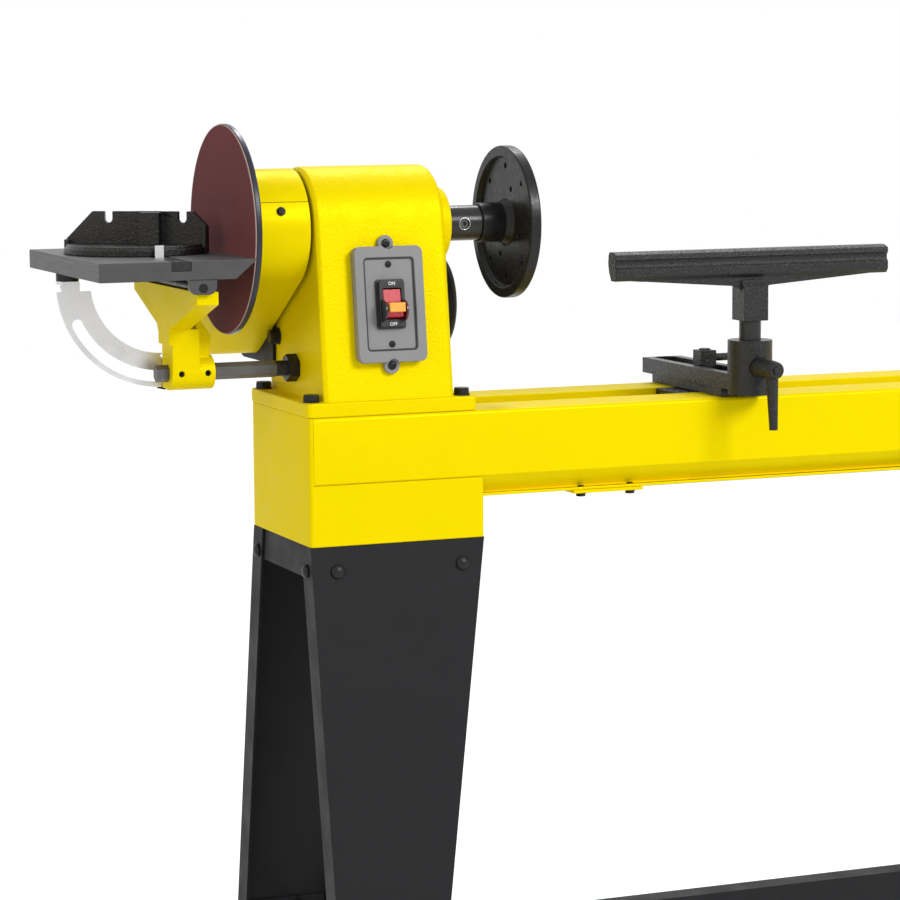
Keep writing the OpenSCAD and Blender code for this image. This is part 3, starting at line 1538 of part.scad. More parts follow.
module quill() place() color(steel) {
  at_tailstock() translate([barrel_start - quill_out, 0, centre_height]) difference() {
    turned([
      [0, 0], [quill_size / 2 - 1.5, 0], [quill_size / 2, 1.5],
      [quill_size / 2, quill_long], [0, quill_long]
    ]);
    translate([-join, 0, 0]) right() cylinder(r1 = 9.1, r2 = 7.1, h = 60 + join);
    translate([60, 0, 0]) right() cylinder(r = screw + 0.1, h = quill_long);
  }
}

module live_centre() place() color(steel) {
  at_tailstock() translate([barrel_start - quill_out, 0, centre_height]) turned([
    [0, -46], [1, -45], [9, -31], [9, -28], [17, -26], [17, -2], [14, -0.4], [8.9, -0.4],
    [7.1, 54], [0, 54]
  ]);
}

wheel_start = barrel_length / 2 + 0.4;

// Dished handwheel with rim, web and handle, on the feed screw
module handwheel() place() color(black) {
  r = wheel / 2;
  at_tailstock() translate([wheel_start, 0, centre_height]) union() {
    difference() {
      turned([
        [0, 0], [16, 0], [16, 14], [r - wheel_rim, 20], [r - wheel_rim + 3, 14], [r - 3, 14], [r, 17],
        [r, 26], [r - 3, 29], [r - wheel_rim + 3, 29], [r - wheel_rim, 25], [18, 24], [16, 30], [0, 30]
      ]);
      for (i = [0:4]) {
        rotate([i * 72 + 36, 0, 0]) translate([0, 0, r * 0.52]) right() cylinder(r = 9, h = 40);
      }
    }
    // Feed screw that runs into the quill
    translate([-wheel_start - 18, 0, 0]) right() cylinder(r = screw, h = wheel_start + 19);
    translate([28, 0, r - wheel_rim / 2])
    turned([[0, 0], [5, 0], [6, 4], [9, 14], [9.5, 32], [8, 44], [4, 49], [0, 50]]);
  }
}

module quill_lock_lever() place() color(black) {
  seat = centre_height + barrel / 2 + 6.3;
  at_tailstock() translate([-30, 0, 0]) union() {
    translate([0, 0, centre_height + quill_size / 2 + 0.4])
    cylinder(r = 5, h = seat - centre_height - quill_size / 2);
    translate([0, 0, seat]) cylinder(r = 10, h = 14);
    translate([0, 0, seat + 7]) rotate([70, 0, 0]) cylinder(r1 = 5, r2 = 4, h = 60);
    translate([0, 0, seat + 7]) rotate([70, 0, 0]) translate([0, 0, 62]) sphere(r = 8, $fn = 32);
  }
}

left_leg_front();
left_leg_rear();
right_leg_front();
right_leg_rear();
leg_top_plates();
leg_cross_braces();
leg_bolts();
stretcher();
left_bed_bracket();
right_bed_bracket();
front_rail();
rear_rail();
bed_tie_plates();
machine_bolts();
headstock_casting();
spindle_bearings();
belt_guard_body();
belt_guard_cover();
panel_screws();
motor_mount_plate();
motor_body();
motor_end_cover();
motor_terminal_box();
cable_gland();
motor_shaft();
motor_pulley();
drive_belt();
spindle();
spindle_pulley();
faceplate();
sanding_disc();
abrasive_disc();
switch_plate();
switch_body();
switch_rocker();
safety_key();
hex_bar();
bar_lock_nut();
table_bracket();
bracket_set_screws();
table_pivot_pin();
tilt_lock_nut();
sander_table();
tilt_quadrant();
quadrant_bolt();
mitre_bar();
mitre_head();
rest_clamp_block();
rest_clamp_lever();
banjo();
tool_rest_post();
tool_rest();
rest_lock_lever();
tailstock_casting();
tailstock_clamp();
tailstock_lock_lever();
quill();
live_centre();
handwheel();
quill_lock_lever();
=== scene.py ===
"""Looks of the lathe with its disc sander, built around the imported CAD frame."""

import json
import math

import bmesh
import bpy
from mathutils import Matrix, Vector
from mathutils.bvhtree import BVHTree


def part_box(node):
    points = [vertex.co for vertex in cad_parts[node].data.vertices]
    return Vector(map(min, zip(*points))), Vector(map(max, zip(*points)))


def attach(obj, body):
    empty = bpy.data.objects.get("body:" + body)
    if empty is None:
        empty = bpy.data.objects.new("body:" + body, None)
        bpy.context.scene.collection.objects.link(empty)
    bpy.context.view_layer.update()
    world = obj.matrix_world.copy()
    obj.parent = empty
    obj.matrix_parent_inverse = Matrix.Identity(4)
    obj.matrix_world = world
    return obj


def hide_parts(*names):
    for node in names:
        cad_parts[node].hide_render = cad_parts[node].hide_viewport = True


MM = 0.001

# Camera of the photograph, in the row frame
CAMERA_PLACE = (-1.6096, -2.8795, 1.1638)
CAMERA_YAW = math.radians(22.241)
CAMERA_PITCH = math.radians(7.106)
CAMERA_ROLL = math.radians(-0.355)
CAMERA_LENS = 125.1
SENSOR = 36.0

# Where the part's drawing has its zero: the abrasive's face, the spindle's plane and the bed's top
DRAWING_ZERO = Vector((-0.6682, 0.0, 0.825))

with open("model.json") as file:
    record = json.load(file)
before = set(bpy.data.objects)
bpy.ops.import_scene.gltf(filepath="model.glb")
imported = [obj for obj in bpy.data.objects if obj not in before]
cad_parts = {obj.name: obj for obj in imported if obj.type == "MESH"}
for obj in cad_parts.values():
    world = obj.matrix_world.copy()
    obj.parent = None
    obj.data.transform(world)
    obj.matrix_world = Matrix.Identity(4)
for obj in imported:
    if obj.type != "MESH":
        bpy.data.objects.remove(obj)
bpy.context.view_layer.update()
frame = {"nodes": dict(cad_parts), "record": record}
record = frame["record"]
SLOT_OF = {row["node"]: row["material_slot"] for row in record["subparts"]}
BODY_OF = {
    node: body for body, nodes in record["behaviour"]["bodies"].items() for node in nodes
}


def drawn(x, y, z):
    """A point of the part's drawing, in millimetres, as a point of the row frame."""
    return DRAWING_ZERO + Vector((x, y, z)) * MM


# Shader helpers

class Shader:
    """A material under construction: one Principled shader and the nodes that feed it."""

    def __init__(self, name, colour, roughness, metallic=0.0):
        self.material = bpy.data.materials.new(name)
        self.material.use_nodes = True
        self.tree = self.material.node_tree
        self.principled = self.tree.nodes["Principled BSDF"]
        self.principled.inputs["Base Color"].default_value = (*colour, 1.0)
        self.principled.inputs["Roughness"].default_value = roughness
        self.principled.inputs["Metallic"].default_value = metallic
        self.place = self.tree.nodes.new("ShaderNodeTexCoord").outputs["Object"]
        self.normal = None

    def link(self, source, target):
        self.tree.links.new(source, target)

    def stretched(self, scale):
        """The object's own coordinates, stretched by a scale for each axis."""
        node = self.tree.nodes.new("ShaderNodeMapping")
        node.inputs["Scale"].default_value = scale
        self.link(self.place, node.inputs["Vector"])
        return node.outputs["Vector"]

    def noise(self, scale, detail=3.0, rough=0.5, place=None):
        node = self.tree.nodes.new("ShaderNodeTexNoise")
        node.inputs["Scale"].default_value = scale
        node.inputs["Detail"].default_value = detail
        node.inputs["Roughness"].default_value = rough
        self.link(place or self.place, node.inputs["Vector"])
        return node.outputs["Fac"]

    def cells(self, scale):
        node = self.tree.nodes.new("ShaderNodeTexVoronoi")
        node.inputs["Scale"].default_value = scale
        self.link(self.place, node.inputs["Vector"])
        return node.outputs["Distance"]

    def span(self, source, low, high, to_low, to_high):
        node = self.tree.nodes.new("ShaderNodeMapRange")
        node.inputs["From Min"].default_value = low
        node.inputs["From Max"].default_value = high
        node.inputs["To Min"].default_value = to_low
        node.inputs["To Max"].default_value = to_high
        self.link(source, node.inputs["Value"])
        return node.outputs["Result"]

    def blend(self, factor, first, second):
        """A colour between two colours, each a tuple or a socket."""
        node = self.tree.nodes.new("ShaderNodeMix")
        node.data_type = "RGBA"
        self.link(factor, node.inputs["Factor"])
        for value, socket in ((first, node.inputs["A"]), (second, node.inputs["B"])):
            if isinstance(value, tuple):
                socket.default_value = (*value[:3], 1.0)
            else:
                self.link(value, socket)
        return node.outputs["Result"]

    def calculate(self, operation, first, second):
        node = self.tree.nodes.new("ShaderNodeMath")
        node.operation = operation
        for value, socket in ((first, node.inputs[0]), (second, node.inputs[1])):
            if isinstance(value, (int, float)):
                socket.default_value = value
            else:
                self.link(value, socket)
        return node.outputs["Value"]

    def bump(self, height, depth):
        """Adds relief, depth in metres, over the relief already there."""
        node = self.tree.nodes.new("ShaderNodeBump")
        node.inputs["Distance"].default_value = depth
        self.link(height, node.inputs["Height"])
        if self.normal is not None:
            self.link(self.normal, node.inputs["Normal"])
        self.normal = node.outputs["Normal"]
        self.link(self.normal, self.principled.inputs["Normal"])

    def tint(self, colour):
        self.link(colour, self.principled.inputs["Base Color"])

    def gloss(self, roughness):
        self.link(roughness, self.principled.inputs["Roughness"])

    def set(self, **values):
        for name, value in values.items():
            self.principled.inputs[name.replace("_", " ")].default_value = value


def shade(colour, factor):
    """The colour made darker or lighter by a factor."""
    return tuple(min(1.0, channel * factor) for channel in colour)


def enamel(name, colour, peel, peel_scale, roughness=0.4):
    """Machine enamel: orange peel over faint waves, with slightly uneven gloss and colour."""
    s = Shader(name, colour, roughness, metallic=0.12)
    s.set(Specular_IOR_Level=0.02)
    s.tint(s.blend(s.noise(14, 4), shade(colour, 0.96), shade(colour, 1.02)))
    s.gloss(s.span(s.noise(60, 4), 0.3, 0.7, roughness - 0.06, roughness + 0.1))
    s.bump(s.noise(peel_scale, 3, 0.6), peel)
    return s.material


def satin_paint(name, colour):
    """Satin sheet-metal paint with a fine dust-like grain."""
    s = Shader(name, colour, 0.5)
    s.set(Specular_IOR_Level=0.12)
    s.tint(s.blend(s.noise(9, 5), shade(colour, 0.92), shade(colour, 1.08)))
    s.gloss(s.span(s.noise(30, 5), 0.3, 0.7, 0.45, 0.6))
    s.bump(s.noise(900, 2), 0.00002)
    return s.material


def cast_black(name, colour):
    """Black enamel over a sand-cast skin: pits, grains and worn bright spots."""
    s = Shader(name, colour, 0.34)
    s.set(Specular_IOR_Level=0.34)
    s.tint(s.blend(s.noise(120, 6, 0.65), shade(colour, 0.5), shade(colour, 1.8)))
    s.gloss(s.span(s.noise(200, 4), 0.3, 0.7, 0.2, 0.36))
    s.bump(s.noise(420, 4, 0.62), 0.001)
    return s.material


def dark_steel(name, colour, roughness=0.33):
    """Black oxide or oiled steel, with fine turning marks and handling."""
    s = Shader(name, colour, roughness)
    s.set(Specular_IOR_Level=0.24)
    s.tint(s.blend(s.noise(90, 5), shade(colour, 0.75), shade(colour, 1.35)))
    s.gloss(s.span(s.noise(160, 4), 0.3, 0.7, roughness - 0.08, roughness + 0.1))
    s.bump(s.noise(700, 3), 0.00002)
    return s.material


def turned_steel(name, colour):
    """Bright turned steel: fine rings along the axis and faint scratches."""
    s = Shader(name, colour, 0.24, metallic=1.0)
    lines = s.noise(1.0, 2, 0.5, s.stretched((2600, 60, 60)))
    s.tint(s.blend(s.noise(70, 4), shade(colour, 0.85), shade(colour, 1.1)))
    s.gloss(s.span(lines, 0.3, 0.7, 0.18, 0.34))
    s.bump(lines, 0.00001)
    return s.material


def zinc(name, colour):
    """Bright zinc on sheet steel: cloudy colour and long rolling marks."""
    s = Shader(name, colour, 0.3, metallic=0.7)
    clouds = s.noise(40, 5, 0.6)
    s.tint(s.blend(clouds, shade(colour, 0.85), shade(colour, 1.15)))
    s.gloss(s.span(clouds, 0.3, 0.7, 0.24, 0.42))
    s.bump(s.noise(1.0, 2, 0.5, s.stretched((40, 40, 1800))), 0.000015)
    return s.material


def ground_iron(name, colour):
    """Ground grey iron: fine parallel grinding marks over a mottled grey."""
    s = Shader(name, colour, 0.45, metallic=0.2)
    s.set(Specular_IOR_Level=0.3)
    marks = s.noise(1.0, 3, 0.6, s.stretched((1800, 25, 1800)))
    mottle = s.noise(55, 6, 0.65)
    s.tint(s.blend(mottle, shade(colour, 0.75), shade(colour, 1.3)))
    s.gloss(s.span(marks, 0.3, 0.7, 0.34, 0.52))
    s.bump(marks, 0.00002)
    s.bump(s.noise(500, 3), 0.00003)
    return s.material


def turned_alloy(name, colour):
    """Turned alloy disc: rings about the spindle's axis."""
    s = Shader(name, colour, 0.3, metallic=0.4)
    s.tint(s.blend(s.noise(50, 4), shade(colour, 0.85), shade(colour, 1.1)))
    s.bump(s.noise(1.0, 2, 0.5, s.stretched((2500, 40, 40))), 0.00001)
    return s.material


def abrasive(name, colour, centre, face_radius):
    """Coated abrasive: packed grains, streaks of use, and a pale ring painted round its edge as a
    highlight.
    """
    s = Shader(name, colour, 0.85)
    grains = s.cells(900)
    fine = s.noise(2600, 2, 0.7)
    s.set(Specular_IOR_Level=0.35)
    grainy = s.blend(s.span(fine, 0.35, 0.65, 0.0, 1.0), shade(colour, 0.7), shade(colour, 1.45))
    worn = s.blend(s.span(s.noise(25, 5), 0.4, 0.75, 0.0, 0.35), grainy, shade(colour, 0.62))
    # Distance from the spindle's axis, which runs along X
    axes = s.tree.nodes.new("ShaderNodeSeparateXYZ")
    s.link(s.place, axes.inputs["Vector"])
    across = s.calculate("SUBTRACT", axes.outputs["Y"], centre[1])
    upward = s.calculate("SUBTRACT", axes.outputs["Z"], centre[2])
    square = s.calculate(
        "ADD", s.calculate("MULTIPLY", across, across), s.calculate("MULTIPLY", upward, upward)
    )
    radius = s.calculate("POWER", square, 0.5)
    # Painted highlight: a thin pale ring beyond the face's radius, round the abrasive's edge
    edge = s.span(radius, face_radius, face_radius + 0.0002, 0.0, 1.0)
    s.tint(s.blend(edge, worn, (0.42, 0.30, 0.27)))
    s.bump(grains, 0.00012)
    s.bump(fine, 0.00006)
    return s.material


def moulded(name, colour, roughness=0.3, grain=0.00002, grain_scale=900):
    """Moulded plastic with a fine spark-eroded grain."""
    s = Shader(name, colour, roughness)
    s.tint(s.blend(s.noise(30, 4), shade(colour, 0.94), shade(colour, 1.06)))
    s.gloss(s.span(s.noise(120, 3), 0.3, 0.7, roughness - 0.04, roughness + 0.07))
    s.bump(s.noise(grain_scale, 2), grain)
    return s.material


def rubber(name, colour):
    """Belt rubber: dull, dusty, with a woven cover."""
    s = Shader(name, colour, 0.75)
    s.tint(s.blend(s.noise(300, 4, 0.7), shade(colour, 0.6), shade(colour, 2.2)))
    s.bump(s.noise(1.0, 2, 0.5, s.stretched((1500, 700, 700))), 0.00008)
    return s.material


# Base colour of each material slot, linear
COLOURS = {
    "yellow_paint": (0.93, 0.74, 0.0),
    "charcoal_paint": (0.0175, 0.018, 0.02),
    "motor_paint": (0.02, 0.02, 0.022),
    "black_casting": (0.008, 0.008, 0.008),
    "black_steel": (0.011, 0.011, 0.012),
    "bright_steel": (0.5, 0.5, 0.51),
    "drawn_steel": (0.11, 0.11, 0.113),
    "dark_steel": (0.03, 0.03, 0.031),
    "zinc_plate": (0.7, 0.7, 0.71),
    "grey_iron": (0.075, 0.075, 0.077),
    "disc_alloy": (0.02, 0.024, 0.04),
    "abrasive_sheet": (0.14, 0.032, 0.036),
    "belt_rubber": (0.02, 0.02, 0.02),
    "switch_grey": (0.25, 0.25, 0.255),
    "black_plastic": (0.012, 0.012, 0.014),
    "red_plastic": (0.6, 0.02, 0.04),
    "amber_plastic": (0.95, 0.45, 0.06),
}

# Width of the pale ring painted round the abrasive's edge as a highlight
HIGHLIGHT_RING_WIDTH = 0.0008


def make_materials():
    """A material for each slot, from its maker and the numbers that go with its colour."""
    low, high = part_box("abrasive_disc")
    face_radius = (high.z - low.z) / 2 - HIGHLIGHT_RING_WIDTH
    makers = {
        "yellow_paint": (enamel, 0.00004, 500),
        "charcoal_paint": (satin_paint,),
        "motor_paint": (satin_paint,),
        "black_casting": (cast_black,),
        "black_steel": (dark_steel,),
        "bright_steel": (turned_steel,),
        "drawn_steel": (ground_iron,),
        "dark_steel": (dark_steel, 0.24),
        "zinc_plate": (zinc,),
        "grey_iron": (ground_iron,),
        "disc_alloy": (turned_alloy,),
        "abrasive_sheet": (abrasive, (low + high) / 2, face_radius),
        "belt_rubber": (rubber,),
        "switch_grey": (moulded, 0.5, 0.00005, 600),
        "black_plastic": (moulded,),
        "red_plastic": (moulded, 0.22),
        "amber_plastic": (moulded, 0.25),
    }
    return {
        slot: maker(slot, COLOURS[slot], *numbers)
        for slot, (maker, *numbers) in makers.items()
    }


MATERIALS = make_materials()
# Sand castings show their coarser skin through the same enamel
ROUGH_YELLOW = enamel("yellow_casting", COLOURS["yellow_paint"], 0.0005, 480, 0.36)
ROUGH_CASTINGS = ("headstock_casting", "tailstock_casting", "table_bracket")
LETTER_WHITE = moulded("letter_white", (0.8, 0.8, 0.8), 0.4)
DARK_RED = moulded("dark_red_plastic", (0.09, 0.004, 0.008), 0.25)

# Edge radius of each node in millimetres, where it isn't the usual one
USUAL_EDGE = 0.4
EDGE = {
    "headstock_casting": 1.6,
    "tailstock_casting": 2.0,
    "table_bracket": 1.2,
    "sander_table": 0.7,
    "mitre_head": 0.8,
    "tool_rest": 1.0,
    "banjo": 1.2,
    "rest_clamp_block": 0.8,
    "left_bed_bracket": 1.0,
    "right_bed_bracket": 1.0,
    "front_rail": 0.8,
    "rear_rail": 0.8,
    "faceplate": 0.8,
    "handwheel": 1.0,
    "switch_plate": 0.8,
    "switch_rocker": 0.6,
    "safety_key": 0.6,
    "belt_guard_body": 0.5,
    "belt_guard_cover": 0.5,
    "abrasive_disc": 0.15,
    "panel_screws": 0.12,
    "bracket_set_screws": 0.15,
    "spindle_bearings": 0.2,
}
# Shares of the edge radius that are tried in turn, and how far the rounding may reach
EDGE_SHARES = (1.0, 0.6, 0.35, 0.2, 0.1)
STRAY_SHARE = 1.2
STRAY_SLACK = 0.00001
# Edges sharper than the first are rounded, and those flatter than the second vanish
SOFT_ANGLE = math.radians(28)
FLAT_ANGLE = math.radians(0.4)
# Corners of the scene's own plates sharper than this are rounded
CORNER_ANGLE = math.radians(40)
# Corners closer than this are one corner
JOIN_DISTANCE = 2e-6
# Sheets that are left as the shears cut them
CUT_SHEETS = ("tilt_quadrant",)


def cleaned_mesh(node):
    """The node's mesh with its split corners joined and its flat faces made whole."""
    mesh = frame["nodes"][node].data.copy()
    mesh.name = "form_" + node
    for attribute in ("custom_normal", "sharp_face", "sharp_edge"):
        if attribute in mesh.attributes:
            mesh.attributes.remove(mesh.attributes[attribute])
    work = bmesh.new()
    work.from_mesh(mesh)
    bmesh.ops.remove_doubles(work, verts=work.verts, dist=JOIN_DISTANCE)
    bmesh.ops.dissolve_limit(
        work, angle_limit=FLAT_ANGLE, verts=work.verts, edges=work.edges
    )
    for face in work.faces:
        face.smooth = True
    work.to_mesh(mesh)
    work.free()
    return mesh


def strays(piece, skin, limit):
    """Whether rounding has thrown a vertex further than the limit from the node's own skin."""
    bpy.context.view_layer.update()
    shaped = piece.evaluated_get(bpy.context.evaluated_depsgraph_get())
    mesh = shaped.to_mesh()
    far = any(skin.find_nearest(v.co)[3] > limit for v in mesh.vertices)
    shaped.to_mesh_clear()
    return far


def round_edges(piece, width):
    """Rounds the sharp edges, less where the form is too fine for the full radius."""
    skin = BVHTree.FromPolygons(
        [v.co for v in piece.data.vertices], [p.vertices for p in piece.data.polygons]
    )
    edge = piece.modifiers.new("edge", "BEVEL")
    edge.segments = 2
    edge.limit_method = "ANGLE"
    edge.angle_limit = SOFT_ANGLE
    edge.use_clamp_overlap = False
    edge.harden_normals = True
    edge.miter_outer = "MITER_ARC"
    for share in EDGE_SHARES:
        edge.width = width * share
        if not strays(piece, skin, STRAY_SHARE * edge.width + STRAY_SLACK):
            return
    piece.modifiers.remove(edge)
    piece.data.set_sharp_from_angle(angle=SOFT_ANGLE)


def dress(node):
    """Shows a node with rounded edges and its slot's material."""
    piece = bpy.data.objects.new("shown_" + node, cleaned_mesh(node))
    bpy.context.scene.collection.objects.link(piece)
    material = ROUGH_YELLOW if node in ROUGH_CASTINGS else MATERIALS[SLOT_OF[node]]
    piece.data.materials.clear()
    piece.data.materials.append(material)
    if node in CUT_SHEETS:
        piece.data.set_sharp_from_angle(angle=SOFT_ANGLE)
    else:
        round_edges(piece, EDGE.get(node, USUAL_EDGE) * MM)
    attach(piece, BODY_OF[node])
    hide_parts(node)


for part_node in SLOT_OF:
    dress(part_node)

# Own pieces


def make_piece(name, verts, faces, material, body):
    """A smooth closed piece from its vertices and faces, on a body and with a slot's finish."""
    mesh = bpy.data.meshes.new(name)
    mesh.from_pydata(verts, [], faces)
    work = bmesh.new()
    work.from_mesh(mesh)
    bmesh.ops.recalc_face_normals(work, faces=work.faces)
    work.to_mesh(mesh)
    work.free()
    piece = bpy.data.objects.new(name, mesh)
    bpy.context.scene.collection.objects.link(piece)
    piece.data.materials.append(material)
    for face in mesh.polygons:
        face.use_smooth = True
    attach(piece, body)
    return piece


# A thread's steps to the turn, its height and profile as shares of its pitch, with the corners
# that stand proud, and how deep its foot lies in the shaft
THREAD_STEPS = 28
THREAD_DEPTH = 0.45
THREAD_PROFILE = ((-0.46, False), (-0.08, True), (0.08, True), (0.46, False))
THREAD_FOOT = 0.0002


def thread(name, start, direction, length, radius, pitch, material, body):
    """A screw thread: a ridge wound round a shaft from a start point along a direction."""
    steps = THREAD_STEPS
    axis = Vector(direction).normalized()
    side = axis.orthogonal().normalized()
    other = axis.cross(side)
    depth = pitch * THREAD_DEPTH
    verts = []
    faces = []
    rows = int(length / pitch * steps)
    for i in range(rows + 1):
        angle = 2 * math.pi * i / steps
        outward = side * math.cos(angle) + other * math.sin(angle)
        middle = Vector(start) + axis * (length * i / rows)
        taper = min(1.0, i / steps, (rows - i) / steps)
        for shift, proud in THREAD_PROFILE:
            out = radius + (depth * taper if proud else -THREAD_FOOT)
            verts.append(middle + outward * out + axis * (shift * pitch))
        if i:
            a = 4 * (i - 1)
            for j in range(3):
                faces.append((a + j, a + j + 1, a + j + 5, a + j + 4))
            faces.append((a + 3, a, a + 4, a + 7))
    faces.append((0, 1, 2, 3))
    last = 4 * rows
    faces.append((last + 3, last + 2, last + 1, last))
    make_piece(name, verts, faces, material, body)


# Front face of the headstock: its lean, the switch's middle, and its up and outward directions
LEAN = math.radians(7.302)
SWITCH_MIDDLE = drawn(143.25, -68.711, 105)
FACE_UP = Vector((0, math.sin(LEAN), math.cos(LEAN)))
FACE_OUT = Vector((0, -math.cos(LEAN), math.sin(LEAN)))

# The switch in millimetres: the panel's width, height and corner, and its insert's level
PANEL = (52.0, 90.0, 4.0)
PANEL_FLOOR = 8.5
# The black ring that paints the shade of the groove round the insert: what it takes off the
# panel's size outside, off its size and corner inside, and its bottom and top over the insert
SHADE_RING_OUTSIDE = 0.1
SHADE_RING_INSIDE = 3.6
SHADE_RING_CORNER = 1.2
SHADE_RING_BOTTOM = 0.02
SHADE_RING_TOP = 0.5
# The body's front, and the capitals on it: height, place above the middle, and level
BODY_FRONT = 15.5
LETTER_HEIGHT = 3.2
LETTER_PLACE = 19.5
LETTER_LEVEL = BODY_FRONT + 0.1
# Font size for a capital's height, half the letters' thickness, and what widens their strokes
FONT_SHARE = 1.4
LETTER_HALF = 0.12
LETTER_WIDEN = 0.08
# The two cheeks that guard the rocker: their middle, distance from it, and arch
CHEEK_PLACE = -6.5
CHEEK_SIDE = 10.7
CHEEK_REACH = 10.5
CHEEK_RISE = 12.5
CHEEK_FOOT = -0.2
CHEEK_HALF = 1.0
CHEEK_EDGE = 0.5


def face_matrix(right, up, out):
    """Placing on the switch's front face, in millimetres right, up and out from its middle."""
    turn = Matrix((Vector((1, 0, 0)), FACE_UP, FACE_OUT)).transposed().to_4x4()
    place = SWITCH_MIDDLE + (Vector((right, 0, 0)) + FACE_UP * up + FACE_OUT * out) * MM
    return Matrix.Translation(place) @ turn


def letters(name, words, up):
    """Raised letters on the switch's body, as a mesh."""
    curve = bpy.data.curves.new(name, "FONT")
    curve.body = words
    curve.size = LETTER_HEIGHT * MM * FONT_SHARE
    curve.align_x = "CENTER"
    curve.align_y = "CENTER"
    curve.extrude = LETTER_HALF * MM
    curve.offset = LETTER_WIDEN * MM
    text = bpy.data.objects.new(name + "_text", curve)
    bpy.context.scene.collection.objects.link(text)
    bpy.context.view_layer.update()
    depsgraph = bpy.context.evaluated_depsgraph_get()
    mesh = bpy.data.meshes.new_from_object(text.evaluated_get(depsgraph))
    bpy.data.objects.remove(text)
    mesh.transform(face_matrix(0, up, LETTER_LEVEL))
    piece = bpy.data.objects.new(name, mesh)
    bpy.context.scene.collection.objects.link(piece)
    mesh.materials.clear()
    mesh.materials.append(LETTER_WHITE)
    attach(piece, BODY_OF["switch_body"])


def solid_piece(name, outline, low, high, placing, material, body, hole=None, edge=0.0):
    """A plate of an outline, in millimetres, between two heights, with a hole of as many points."""
    count = len(outline)
    verts = [placing @ Vector((x, y, z)) for z in (low, high) for x, y in outline]
    if hole is None:
        faces = [tuple(reversed(range(count))), tuple(range(count, 2 * count))]
    else:
        verts += [placing @ Vector((x, y, z)) for z in (low, high) for x, y in hole]
        faces = []
        for i in range(count):
            j = (i + 1) % count
            faces.append((count + i, count + j, 3 * count + j, 3 * count + i))
            faces.append((j, i, 2 * count + i, 2 * count + j))
            faces.append((2 * count + j, 2 * count + i, 3 * count + i, 3 * count + j))
    for i in range(count):
        j = (i + 1) % count
        faces.append((i, j, count + j, count + i))
    piece = make_piece(name, verts, faces, material, body)
    piece.data.set_sharp_from_angle(angle=SOFT_ANGLE)
    if edge:
        rounding = piece.modifiers.new("edge", "BEVEL")
        rounding.width = edge * MM
        rounding.segments = 3
        rounding.angle_limit = CORNER_ANGLE
        rounding.harden_normals = True


def rounded_box(width, height, corner, steps=8):
    """Outline of a box with round corners, about its middle."""
    points = []
    for quarter, (side, rise) in enumerate(((1, 1), (-1, 1), (-1, -1), (1, -1))):
        for i in range(steps + 1):
            angle = math.radians(90 * (quarter + i / steps))
            points.append((
                side * (width / 2 - corner) + corner * math.cos(angle),
                rise * (height / 2 - corner) + corner * math.sin(angle),
            ))
    return points


def turned_piece(name, profile, placing, material, body, sides=48):
    """A turned form: radius and height pairs, in millimetres, about the placing's own Z."""
    verts = []
    for radius, height in profile:
        for i in range(sides):
            angle = 2 * math.pi * i / sides
            spot = (radius * math.cos(angle), radius * math.sin(angle), height)
            verts.append(placing @ Vector(spot))
    faces = []
    for row in range(len(profile) - 1):
        for i in range(sides):
            j = (i + 1) % sides
            a, b = row * sides, (row + 1) * sides
            faces.append((a + i, a + j, b + j, b + i))
    faces.append(tuple(reversed(range(sides))))
    last = (len(profile) - 1) * sides
    faces.append(tuple(range(last, last + sides)))
    piece = make_piece(name, verts, faces, material, body)
    piece.data.set_sharp_from_angle(angle=SOFT_ANGLE)


def in_millimetres(matrix):
    """The placing for points that are given in millimetres."""
    return matrix @ Matrix.Scale(MM, 4)


def make_switch_details():
    """A black ring painted round the panel's insert as the shade of its groove, and the cheeks
    beside the rocker.
    """
    body = BODY_OF["switch_plate"]
    black = MATERIALS["black_plastic"]
    width, height, corner = PANEL
    # Painted shade: a thin black ring laid over the insert's edge stands for the shaded groove
    # there
    solid_piece(
        "panel_groove_shade",
        rounded_box(width - SHADE_RING_OUTSIDE, height - SHADE_RING_OUTSIDE, corner),
        PANEL_FLOOR + SHADE_RING_BOTTOM, PANEL_FLOOR + SHADE_RING_TOP,
        in_millimetres(face_matrix(0, 0, 0)), black, body,
        hole=rounded_box(width - SHADE_RING_INSIDE, height - SHADE_RING_INSIDE, corner - SHADE_RING_CORNER),
    )
    arch = [(-CHEEK_REACH, CHEEK_FOOT)]
    for degrees in range(0, 181, 9):
        angle = math.radians(degrees)
        arch.append((-CHEEK_REACH * math.cos(angle), CHEEK_RISE * math.sin(angle)))
    arch.append((CHEEK_REACH, CHEEK_FOOT))
    # The cheek's own x runs up the face, y outwards and z to the right
    turn = Matrix(((0, 0, 1), (1, 0, 0), (0, 1, 0))).to_4x4()
    for name, side, material, slot in (
        ("guard_left", -1, black, "black_plastic"),
        ("guard_right", 1, DARK_RED, "red_plastic"),
    ):
        place = face_matrix(side * CHEEK_SIDE, CHEEK_PLACE, BODY_FRONT) @ turn
        solid_piece(
            name, arch, -CHEEK_HALF, CHEEK_HALF, in_millimetres(place),
            material, body, edge=CHEEK_EDGE,
        )


make_switch_details()
letters("letters_on", "ON", LETTER_PLACE)
letters("letters_off", "OFF", -LETTER_PLACE)

# Neck of the hex bar, which takes the lock nut
NECK_START = drawn(50, 0, 41)
NECK_LENGTH = 20 * MM
NECK_RADIUS = 7 * MM
NECK_PITCH = 1.75 * MM
thread(
    "bar_thread", NECK_START, (1, 0, 0), NECK_LENGTH, NECK_RADIUS, NECK_PITCH,
    MATERIALS["black_steel"], BODY_OF["hex_bar"],
)

# The spindle's nose and cross hole, in millimetres, and the hole's place along the nose
NOSE_START = 226.0
NOSE_LENGTH = 39.5
SPINDLE_RADIUS = 17.5
SPINDLE_LEVEL = 178.0
HOLE_SHARE = 0.52
HOLE_X = NOSE_START + NOSE_LENGTH * HOLE_SHARE
HOLE_RADIUS = 5.0
